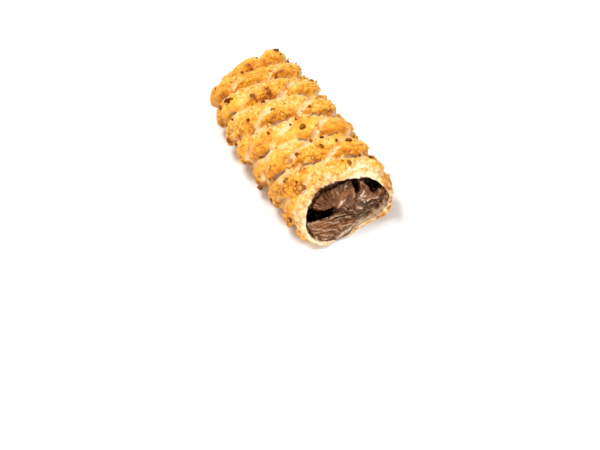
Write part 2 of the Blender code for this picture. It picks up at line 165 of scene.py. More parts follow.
def bodySizes(x):
    taper = endTaper(x)
    swell = stick["swelling"] * math.sin(x / stick["swellingLength"])
    width = stick["halfWidth"] * (1 - stick["endNarrowing"] * taper + swell)
    rise = stick["crownRise"] * (1 - stick["endLowering"] * taper - swell)
    return width, rise, stick["bellyDrop"]


@functools.lru_cache(maxsize=None)
def turnShape(turn):
    return sectionShape(float(np.interp(abs(turn), sectionShares, sectionAngles)))


def sectionPoint(x, turn, inset=0.0, share=1.0):
    width, rise, drop = bodySizes(x)
    across, up = turnShape(turn)
    tall = (rise if up > 0 else drop) - inset
    side = math.copysign(share * across * (width - inset), turn)
    pinched = stick["endFlattening"] * endTaper(x) * share * max(0.0, up) * (1 - across * across)
    return Vector((x, side, drop - stick["trayTrim"] + share * up * tall - pinched))


def plainSkin(run, turn):
    x, share = atRun(run)
    place = sectionPoint(x, turn, share=share)
    place.x += stick["endSkew"] * endTaper(x) * (1 - place.y / stick["halfWidth"]) / 2
    return place


# The tear runs slanting across the stick, further back at the crown and on the -Y side
tear = {
    "slant": 16.5 * mm,
    "skew": 6.6 * mm,
    "start": -3.5 * mm,
    "rounding": 1.6 * mm,
    "bevel": 1.6 * mm,
    "bevelExtra": 2.4 * mm,
    "calm": 5.0 * mm,
    "scales": 0.3,
    "ragged": 1.1 * mm,
    "swell": 0.7 * mm,
    "grain": 2.6 * mm,
    "splinters": 0.55 * mm,  # fine teeth of the torn edge
    "raggedWaves": (1.9, 5.3),  # slow and quick waves of the edge
    "splinterWaves": (13, 31),
    "bevelLevels": (0.0, 0.4),
    "bevelExtraTurns": (0.0, 0.2, 0.3, 0.5),
    "wallBlend": (30 * mm, 5 * mm),  # before the lip, where the wall turns to its thickness at the tear
    # how far the edge strays from the slanting plane, in mm, at each tenth of a turn from -1 to 1
    "strays": (
        -3.0, -2.1, -1.7, -0.9, 0, 1.2, 2.4, 2.4, 1.4, 1.0, 0,
        -0.6, -1.6, -1.2, -0.5, -1.2, -1.5, -2.0, -2.4, -3.6, -3.0,
    ),
    # how thick the wall is at the tear, in mm, at the same turns
    "walls": (
        1.5, 1.5, 1.5, 1.5, 1.9, 2.8, 3.2, 3.4, 3.0, 3.1, 2.4,
        2.3, 2.1, 2.1, 2.5, 2.5, 2.2, 2.2, 1.9, 1.7, 1.5,
    ),
    # where cream clings to the inside of the edge, by turn
    "creamedCrown": (-0.42, -0.30, 0.05, 0.14),
    "creamedFlank": (0.32, 0.42, 0.55, 0.65),
    "creamedFlankShare": 0.6,
    "creamReach": (0.75, 1.3),  # through the rim, where that cream begins
    "creamEdge": (0.15, 0.35),
    "filmDepth": 5 * mm,
    "streakSizes": (2.2 * mm, 3.5 * mm, 2 * mm),
    "rimBlend": (0.15, 0.75),  # through the rim, where the crust's brown ends
    # how far pale dough shows beside the edge, in mm, and how brown the torn dough is, at these turns
    "lookTurns": (-1.0, -0.75, -0.5, -0.4, -0.2, -0.1, 0.05, 0.12, 0.28, 0.36, 0.6, 0.75, 1.0),
    "paleReach": (0.6, 1.4, 1.8, 1.5, 0.9, 1.2, 1.5, 4.5, 4.5, 0.6, 0.3, 0.6, 0.6),
    "browning": (0.35, 0.12, 0.12, 0.35, 0.60, 0.55, 0.35, 0.05, 0.10, 0.55, 0.90, 0.75, 0.5),
}
tenthTurns = [index / 10 for index in range(-10, 11)]


def tornBack(height, side):
    back = tear["start"] + tear["slant"] * height - tear["skew"] * side
    return tear["rounding"] * math.log1p(math.exp(back / tear["rounding"]))


def ringAt(turn, level):  # a place on a circle, so that noise read there closes on itself
    return Vector((math.cos(math.pi * turn), math.sin(math.pi * turn), level))


def raggedAt(turn):
    slow, quick = (ringAt(turn, 0) * waves for waves in tear["raggedWaves"])
    return tear["ragged"] * (noise.noise(slow + Vector((0, 0, 2.3))) + 0.5 * noise.noise(quick))


def splinters(turn, level):
    slow, quick = (ringAt(turn, level) * waves for waves in tear["splinterWaves"])
    return tear["splinters"] * (noise.noise(slow) + 0.8 * noise.noise(quick))


def levelAt(turn):  # (across, height) of the skin, as shares of the half-width and the full height
    across, up = turnShape(turn)
    drop, rise = stick["bellyDrop"], stick["crownRise"]
    return across, (up * (rise if up > 0 else drop) + drop) / (rise + drop)


@functools.lru_cache(maxsize=None)
def innerEdge(turn):
    across, height = levelAt(turn)
    stray = float(np.interp(turn, tenthTurns, tear["strays"])) * mm
    edge = lip - tornBack(height, math.copysign(across, turn)) + raggedAt(turn) + stray
    return edge + 0.8 * splinters(turn, 9.0)


@functools.lru_cache(maxsize=None)
def outerEdge(turn):
    bevel = tear["bevel"] * smoothStep(*tear["bevelLevels"], levelAt(turn)[1])
    bevel += tear["bevelExtra"] * window(tear["bevelExtraTurns"], turn)
    return innerEdge(turn) - bevel + 0.5 * raggedAt(turn + 0.37) + splinters(turn, 4.0)


def wallInset(x, turn):
    atTear = float(np.interp(turn, tenthTurns, tear["walls"])) * mm
    far, near = tear["wallBlend"]
    return mix(stick["wall"], atTear, smoothStep(lip - far, lip - near, x))


def cavityPoint(x, turn, share=1.0, gap=0.0):
    return sectionPoint(x, turn, inset=wallInset(x, turn) + gap, share=share)


# Crust: one closed sheet over the skin, round the torn rim and into the hollow
crust = {
    "roundSteps": 280,
    "crowding": 0.35,  # how much closer together the columns stand on the crown
    "skinRows": 280,
    "rimRows": 12,
    "cavityRows": 26,
    "cavityCrowding": 2.2,  # how much closer together the rows stand at the tear
    "endRows": (0.8, 0.45, 0.0),
    "cavityBulge": 3.5 * mm,
    "freeRows": 22 * mm,  # past the stick's middle, from where the rows follow the torn edge
    "scaleLength": 13.8 * mm,
    "scalesRound": 5.5,
    "scaleRise": 2.1 * mm,
    "scaleDome": 0.8 * mm,
    "domeDraw": (0.3, 1.7),  # least and most of a scale's dome
    "scaleTip": 1.2 * mm,
    "tipSkew": 0.3,  # share of the first cuts in it
    "firstBanks": (3.0 * mm, 2.2 * mm),  # widths of a scale's slopes beside the cuts, rising and falling
    "secondBanks": (5.5 * mm, 1.5 * mm),
    "shallowCuts": 0.30,
    "closedCuts": 0.35,  # how far the cuts have baked shut in patches
    "closedRange": (-0.1, 0.5),
    # how far along the stick, in scale lengths, each family of cuts lies at these turns
    "cutTurns": (-1.0, -0.45, -0.35, -0.2, -0.09, 0.0, 0.09, 0.27, 0.40, 1.0),
    "firstCuts": (1.85, 0.79, 0.54, 0.30, 0.15, -0.03, -0.25, -0.74, -1.08, -2.8),
    "secondCuts": (-2.3, -0.98, -0.76, -0.46, -0.25, -0.14, -0.04, 0.17, 0.12, 1.7),
    "drift": 1.2 * mm,  # how far slow waves shift the scales
    "driftLength": 17 * mm,
    "driftRound": 1.3,
    "scalesStart": (3 * mm, 19 * mm),
    "scalesFade": (0.66, 0.82),
    "slitDepth": 1.0 * mm,
    "slitHalfWidth": 0.72 * mm,
    "slitShift": 0.35 * mm,  # from the cut, towards the tear
    "slitMiddle": 0.62,  # along the cut, as a share of a scale
    "slitHalfLength": 0.24,
    "slitChance": 0.8,
    "slitFades": (0.45, 0.6),  # shares of its half-width and half-length from which it fades
    "slitStrength": 1.5,
    "slitsClose": (0.15, 0.35),
    "paleHalfWidth": 1.5 * mm,  # of the bands of pale dough along the shallower cuts
    "paleRange": (-0.2, 0.25),
    "leastPale": 0.15,
    "paleStart": (20 * mm, 34 * mm),
    "behindCut": (0.06, 0.34),  # shares of a scale behind the deeper cut that are pale too
    "behindRange": (-0.25, 0.25),
    "behindPale": 0.55,
    "tearPale": 0.15,
    "tearPaleReach": 5 * mm,
    "roughRange": (-0.55, 0.0),
    "glazeCalm": (0.04, 0.16),  # from the second value on, glaze leaves no grains
    "slitCalm": 0.85,  # how far slits, raw dough and nuts calm the grains
    "rawCalm": 0.6,
    "nutCalm": 0.85,
    "lumpEdge": 0.4,
    "lumpDoming": 0.6,
    "lumpHeight": 1.0 * mm,
    "lumpSize": 3.6 * mm,
    "grainHeight": 0.45 * mm,
    "grainSize": 1.9 * mm,
    "crumbsFade": (0.6, 0.8),
    # smooth, browner patches: x in mm, turn, reach along and round in mm, and how brown
    "glazedPatches": [
        (-41, -0.42, 9, 12, 0.20),
        (-40, 0.02, 7, 12, 0.18),
        (0, -0.42, 7, 9, 0.24),
        (16, -0.40, 7, 9, 0.22),
        (13, 0.24, 5, 12, 0.18),
        (3, 0.02, 4, 9, 0.16),
        (33, 0.36, 6, 7, 0.18),
        (33, -0.41, 8, 8, 0.13),
    ],
}
# uneven fields of the crust: amount, size and shift
crustNoise = {
    "firstCuts": (0.11, 5 * mm, 2.0),
    "secondCuts": (0.11, 5 * mm, 7.0),
    "closedCuts": (1.0, 9 * mm, 4.0),
    "paleEdge": (0.6 * mm, 2.2 * mm, 3.0),
    "paleBands": (1.0, 5 * mm, 12.0),
    "behindEdge": (0.06, 2.5 * mm, 6.0),
    "behindCuts": (1.0, 7 * mm, 15.0),
    "nutEdge": (1.2 * mm, 2 * mm, 21.0),
    "patches": (1.0, 14 * mm, 3.0),
    "roughEdge": (0.4, 5 * mm, 1.0),
    "swell": (0.65 * mm, 4.5 * mm, 0.0),
    "glaze": (0.5, 4 * mm, 9.0),
    "crumbEdge": (0.8, 1.6 * mm, 8.0),
    "pores": (0.7 * mm, 1.7 * mm, 1.0),
    "finePores": (0.5 * mm, 0.8 * mm, 2.0),
    "filmEdge": (0.7, 1.8 * mm, 4.0),
    "smears": (0.3 * mm, 2.2 * mm, 6.0),
    "filmSpecks": (0.4, 1.2 * mm, 3.0),
    "flecks": (0.30, 1.5 * mm, 5.0),
    "specks": (0.15, 0.7 * mm, 2.0),
    "tornDough": (0.9, 2.5 * mm, 7.0),
}
# how much each thing browns the skin, from pale at 0 to burnt at 1; the scale tips, the left flank and the
# gaps between grains also carry painted shade
browning = {
    "plain": 0.39,
    "tipBrowningAndShade": (0.08, 0.28),  # of the scales, least and most: browning and painted shade on each scale's falling side
    "scaleDraw": 0.12,
    "patches": 0.10,
    "belly": 0.14,
    "smooth": 0.06,
    "tearEnd": 0.02,
    "leftFlankBrowningAndShade": 0.24,
    "rightFlank": 0.12,
    "most": 0.69,
    "lumpGapBrowningAndShade": 0.18,
    "lumpDraw": 0.16,
    "grainGapBrowningAndShade": 0.14,
    "grainDraw": 0.14,
    "rim": 0.45,
    "tornDough": 0.07,
}
scaleWidth = 2 * halfGirth / crust["scalesRound"]
cutSpacing = 1 / math.hypot(1 / crust["scaleLength"], 1 / scaleWidth)


def scalesMask(run, turn):
    return fade(*crust["scalesFade"], abs(turn)) * smoothStep(*crust["scalesStart"], run)


def drifted(run, turn):
    calm = scalesMask(run, turn)
    angle, wide = math.pi * turn, crust["driftRound"]
    where = Vector((run / crust["driftLength"], wide * math.cos(angle), wide * math.sin(angle)))
    along = noise.noise(where + Vector((3.1, 0, 0))) * crust["drift"] * calm
    aside = noise.noise(where + Vector((0, 5.7, 0))) * crust["drift"] / halfGirth * calm
    return run + along, turn + aside


def cutShares(run, turn):  # how far this place is through the two families of cuts
    along = (run - middleRun) / crust["scaleLength"]
    cuts = (crust["firstCuts"], crust["secondCuts"])
    return [along - float(np.interp(turn, crust["cutTurns"], places)) for places in cuts]


def bank(share, banks):
    rising = smoothStep(0, banks[0] / cutSpacing, share)
    return rising * smoothStep(0, banks[1] / cutSpacing, 1 - share)


def lumps(place, size, shift):  # (height of rounded grains with narrow gaps, a draw for each grain)
    distances, middles = noise.voronoi(place / size + Vector((shift, shift, shift)))
    rounded = smoothStep(0.0, crust["lumpEdge"], distances[1] - distances[0])
    return rounded * (1 - crust["lumpDoming"] * distances[0]), chance(*middles[0])


def glazeAt(run, turn):
    brown = 0.0
    for x, middleTurn, along, around, amount in crust["glazedPatches"]:
        ahead, aside = run - runAt(x * mm), (turn - middleTurn) * halfGirth
        away = (ahead / (along * mm)) ** 2 + (aside / (around * mm)) ** 2
        brown = max(brown, amount * math.exp(-(away**1.5)))
    return brown


def nearNut(run, turn, place):  # how close the next large nut bit is, from 0 to 1
    stray = uneven(place, crustNoise["nutEdge"])
    spread = nuts["stainSpread"]
    nearest = math.inf
    for x, nutTurn, _, _ in nuts["large"]:
        along, around = run - runAt(x * mm), (turn - nutTurn) * halfGirth
        if abs(along) < 3 * spread and abs(around) < 3 * spread:
            nearest = min(nearest, (math.hypot(along, around) + stray) / spread)
    return math.exp(-max(nearest, 0.0) ** 2)


def scaleLooks(run, turn, place):
    # (height of the scales, how brown the skin is there, partly painted shade on each scale's falling side,
    # how raw it is, how far a slit is open)
    first, second = cutShares(run, turn)
    first += uneven(place, crustNoise["firstCuts"])
    second += uneven(place, crustNoise["secondCuts"])
    row, column = math.floor(first), math.floor(second)
    first, second = first - row, second - column
    mask = scalesMask(run, turn)
    closing = uneven(place, crustNoise["closedCuts"])
    closed = crust["closedCuts"] * smoothStep(*crust["closedRange"], closing)
    overFirst = mix(closed + crust["shallowCuts"], 1, bank(first, crust["firstBanks"]))
    banks = overFirst * mix(closed, 1, bank(second, crust["secondBanks"]))
    dome = 16 * first * (1 - first) * second * (1 - second)  # 1 in the scale's middle
    lift = crust["scaleDome"] * dome * mix(*crust["domeDraw"], chance(row, column))
    tip = crust["scaleTip"] * mix(second, first, crust["tipSkew"]) * banks
    torn = smoothStep(0, tear["calm"], runAt(outerEdge(turn)) - run)
    kept = mask * mix(tear["scales"], 1, torn)
    height = (crust["scaleRise"] * banks + lift + tip) * kept

    past = second if second < 0.5 else second - 1  # the deeper cut, as a share of a scale
    across = abs(past * cutSpacing - crust["slitShift"]) / crust["slitHalfWidth"]
    along = abs(first - crust["slitMiddle"]) / crust["slitHalfLength"]
    isOpen = chance(row, column if past >= 0 else column + 1, 9) < crust["slitChance"]
    slit = fade(crust["slitFades"][0], 1.0, across) * fade(crust["slitFades"][1], 1.0, along)
    slit *= crust["slitStrength"] * isOpen * mask * fade(*crust["slitsClose"], closed) * torn
    slit = min(1.0, slit)
    height -= crust["slitDepth"] * slit

    fromFirst = min(first, 1 - first) * cutSpacing + uneven(place, crustNoise["paleEdge"])
    bands = smoothStep(*crust["paleRange"], uneven(place, crustNoise["paleBands"]))
    pale = fade(0.35, 1.0, fromFirst / crust["paleHalfWidth"]) * mix(crust["leastPale"], 1, bands)
    behind = fade(*crust["behindCut"], second + uneven(place, crustNoise["behindEdge"]))
    behind *= smoothStep(*crust["behindRange"], uneven(place, crustNoise["behindCuts"]))
    raw = max(pale, crust["behindPale"] * behind) * mask * (1 - 0.5 * closed)
    raw *= smoothStep(*crust["paleStart"], run)
    browningAndShade = smoothStep(0.45, 0.9, second) * mix(*browning["tipBrowningAndShade"], chance(row, column, 2))
    browningAndShade += browning["scaleDraw"] * (chance(row, column, 4) - 0.5)
    return height, browning["plain"] + browningAndShade * mask, raw, slit


def seamRelief(place, share):
    level = (place.z - stick["seamLevel"]) / stick["seamWidth"]
    return -stick["seamDepth"] * math.exp(-level * level) * fade(*stick["seamFade"], share)


def crustRows():  # (kind, place along it) of each row
    rows = [("skin", i / (crust["skinRows"] - 1)) for i in range(crust["skinRows"])]
    rows += [("rim", i / crust["rimRows"]) for i in range(1, crust["rimRows"])]
    cavityShares = np.linspace(0, 1, crust["cavityRows"]) ** crust["cavityCrowding"]
    rows += [("cavity", float(share)) for share in cavityShares]
    rows += [("end", share) for share in crust["endRows"]]
    return rows


def crustPlace(kind, share, turn):  # (place on the plain form, run on the skin)
    edgeRun = runAt(outerEdge(turn))
    if kind == "skin":
        free = middleRun + crust["freeRows"]
        run = share * fullRun
        if run > free:
            run = free + (run - free) / (fullRun - free) * (edgeRun - free)
        return plainSkin(*drifted(run, turn)), run
    if kind == "rim":
        outer = plainSkin(*drifted(edgeRun, turn))
        return outer.lerp(cavityPoint(innerEdge(turn), turn), share), edgeRun
    far = stick["cavityEnd"] - lip
    if kind == "cavity":
        return cavityPoint(mix(innerEdge(turn), far, share), turn), edgeRun
    bulge = crust["cavityBulge"] * (1 - math.sqrt(share))
    return cavityPoint(far - bulge, turn, share=share), edgeRun


# Each form gives how far the plain form is raised, and its baking, rawness, slit, crumb, film and grains
def skinForm(run, turn, place):
    topped = fade(*crust["crumbsFade"], abs(turn))
    patches = uneven(place, crustNoise["patches"])
    height, bake, raw, slit = scaleLooks(run, turn, place)
    height += uneven(place, crustNoise["swell"]) * topped
    height += seamRelief(place, atRun(run)[1])
    glaze = glazeAt(run, turn)
    beside = nearNut(run, turn, place)
    rough = smoothStep(*crust["roughRange"], patches + uneven(place, crustNoise["roughEdge"]))
    rough *= topped * fade(*crust["glazeCalm"], glaze)
    rough *= (1 - crust["slitCalm"] * slit) * (1 - crust["rawCalm"] * raw) * (1 - crust["nutCalm"] * beside)
    bake += browning["patches"] * patches + browning["belly"] * (1 - topped)
    bake += glaze * (0.8 + uneven(place, crustNoise["glaze"]))
    bake += browning["smooth"] * (1 - rough) * topped
    bake += browning["tearEnd"] * smoothStep(-10 * mm, 30 * mm, place.x)
    # flanks browner, the left one twice as much: browning, and on the left also painted shade
    flank = browning["leftFlankBrowningAndShade" if turn < 0 else "rightFlank"]
    bake += flank * smoothStep(0.3, 0.6, abs(turn)) * topped
    bake = min(bake, browning["most"]) + nuts["stain"] * beside
    toEdge = runAt(outerEdge(turn)) - run
    reach = float(np.interp(turn, tear["lookTurns"], tear["paleReach"])) * mm
    crumb = fade(0.0, 1.0, toEdge / reach + uneven(place, crustNoise["crumbEdge"]))
    raw = max(raw, crust["tearPale"] * fade(0.0, crust["tearPaleReach"], toEdge))
    return height, mix(bake, edgeBrown(turn, place), crumb), raw, slit, crumb, 0.0, rough


def rimForm(share, run, turn, place):
    atOuter = scaleLooks(run, turn, place)[0]
    swell = tear["swell"] * math.sin(math.pi * share) * (1 + noiseAt(place, tear["grain"], 9.0 * share))
    pores = uneven(place, crustNoise["pores"]) + uneven(place, crustNoise["finePores"])
    reached = smoothStep(*tear["creamReach"], share + uneven(place, crustNoise["filmEdge"]))
    film = reached * creamedEdge(turn)
    film = smoothStep(*tear["creamEdge"], film) * (0.5 + 0.5 * film)
    bake = mix(browning["rim"], edgeBrown(turn, place), smoothStep(*tear["rimBlend"], share))
    return mix(atOuter, 0, share) + swell + pores, bake, 0.0, 0.0, 1.0, film, 0.0


def cavityForm(kind, turn, place):
    deep = (innerEdge(turn) - place.x) / tear["filmDepth"]
    smear = uneven(place, crustNoise["smears"]) if kind == "cavity" else 0.0
    streaks = noise.noise(Vector([way / size for way, size in zip(place, tear["streakSizes"])]))
    film = 0.25 + 0.3 * deep + 0.7 * streaks + uneven(place, crustNoise["filmSpecks"])
    film = min(1.0, max(0.0, film + 0.9 * creamedEdge(turn)))
    return smear, edgeBrown(turn, place), 0.0, 0.0, 1.0, film, 0.0


def crustForm(kind, share, run, turn, place):
    if kind == "skin":
        return skinForm(run, turn, place)
    if kind == "rim":
        return rimForm(share, run, turn, place)
    return cavityForm(kind, turn, place)


def edgeBrown(turn, place):  # how brown the torn dough is
    shade = float(np.interp(turn, tear["lookTurns"], tear["browning"]))
    flecks = uneven(place, crustNoise["flecks"]) + uneven(place, crustNoise["specks"])
    return browning["tornDough"] + shade * (0.8 + uneven(place, crustNoise["tornDough"])) + flecks


def creamedEdge(turn):  # how far cream clings to the inside of the edge
    flank = tear["creamedFlankShare"] * window(tear["creamedFlank"], turn)
    return max(window(tear["creamedCrown"], turn), flank)


def crustGrain(rough, place):  # (further raise, change of the baking, with painted shade in the gaps between grains) of the finished form
    if rough <= 0:
        return 0.0, 0.0
    coarse, ownCoarse = lumps(place, crust["lumpSize"], 0.0)
    fine, ownFine = lumps(place, crust["grainSize"], 5.0)
    raised = crust["lumpHeight"] * (coarse - 0.5) * (0.6 + 0.8 * ownCoarse)
    raised += crust["grainHeight"] * (fine - 0.5) * (0.5 + ownFine)
    bakedAndShaded = browning["lumpGapBrowningAndShade"] * (0.4 - coarse) + browning["grainGapBrowningAndShade"] * (0.4 - fine)
    bakedAndShaded += browning["lumpDraw"] * (ownCoarse - 0.6) + browning["grainDraw"] * (ownFine - 0.6)
    return rough * raised, rough * bakedAndShaded


def gridNumbers(corner, rows, columns):  # (row, turn) of a corner of the plain grid
    row = round((corner.co.x + 1) / 2 * (rows - 1))
    column = round((corner.co.y + 1) / 2 * columns) % columns
    return row, column / columns * 2 - 1


def addObject(name, data):
    thing = bpy.data.objects.new(name, data)
    bpy.context.scene.collection.objects.link(thing)
    return thing


def meshObject(name, body, material):
    mesh = bpy.data.meshes.new(name)
    body.to_mesh(mesh)
    body.free()
    mesh.materials.append(material)
    return addObject(name, mesh)


def addPiece(name, body, material):
    bmesh.ops.translate(body, vec=(stick["centring"], 0, 0), verts=body.verts)
    piece = meshObject(name, body, material)
    piece.data.shade_smooth()
    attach(piece, "root")
    return piece


def weldSheet(body):
    bmesh.ops.remove_doubles(body, verts=body.verts, dist=0.01 * mm)
    bmesh.ops.recalc_face_normals(body, faces=body.faces)


def raiseSheet(body, heights):  # each corner along its own normal
    body.normal_update()
    moves = [corner.normal * height for corner, height in zip(body.verts, heights)]
    for corner, move in zip(body.verts, moves):
        corner.co += move


def makeCrust(material):
    rows = crustRows()
    body = bmesh.new()
    bmesh.ops.create_grid(body, x_segments=len(rows) - 1, y_segments=crust["roundSteps"], size=1)
    names = ("raise", "bake", "raw", "slit", "crumb", "film", "rough")
    layers = [body.verts.layers.float.new(name) for name in names]
    for corner in body.verts:
        row, turn = gridNumbers(corner, len(rows), crust["roundSteps"])
        turn -= crust["crowding"] * math.sin(math.pi * turn) / math.pi
        kind, share = rows[row]
        corner.co, run = crustPlace(kind, share, turn)
        for layer, value in zip(layers, crustForm(kind, share, run, turn, corner.co)):
            corner[layer] = value
    weldSheet(body)
    lift, bake, rough = layers[0], layers[1], layers[-1]
    raiseSheet(body, [corner[lift] for corner in body.verts])
    grains = [crustGrain(corner[rough], corner.co) for corner in body.verts]
    raiseSheet(body, [grain[0] for grain in grains])
    for corner, grain in zip(body.verts, grains):
        corner[bake] += grain[1]
        corner.co.z = max(0.0, corner.co.z)
    body.verts.layers.float.remove(lift)
    piece = addPiece("crustSkin", body, material)
    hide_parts("crust")


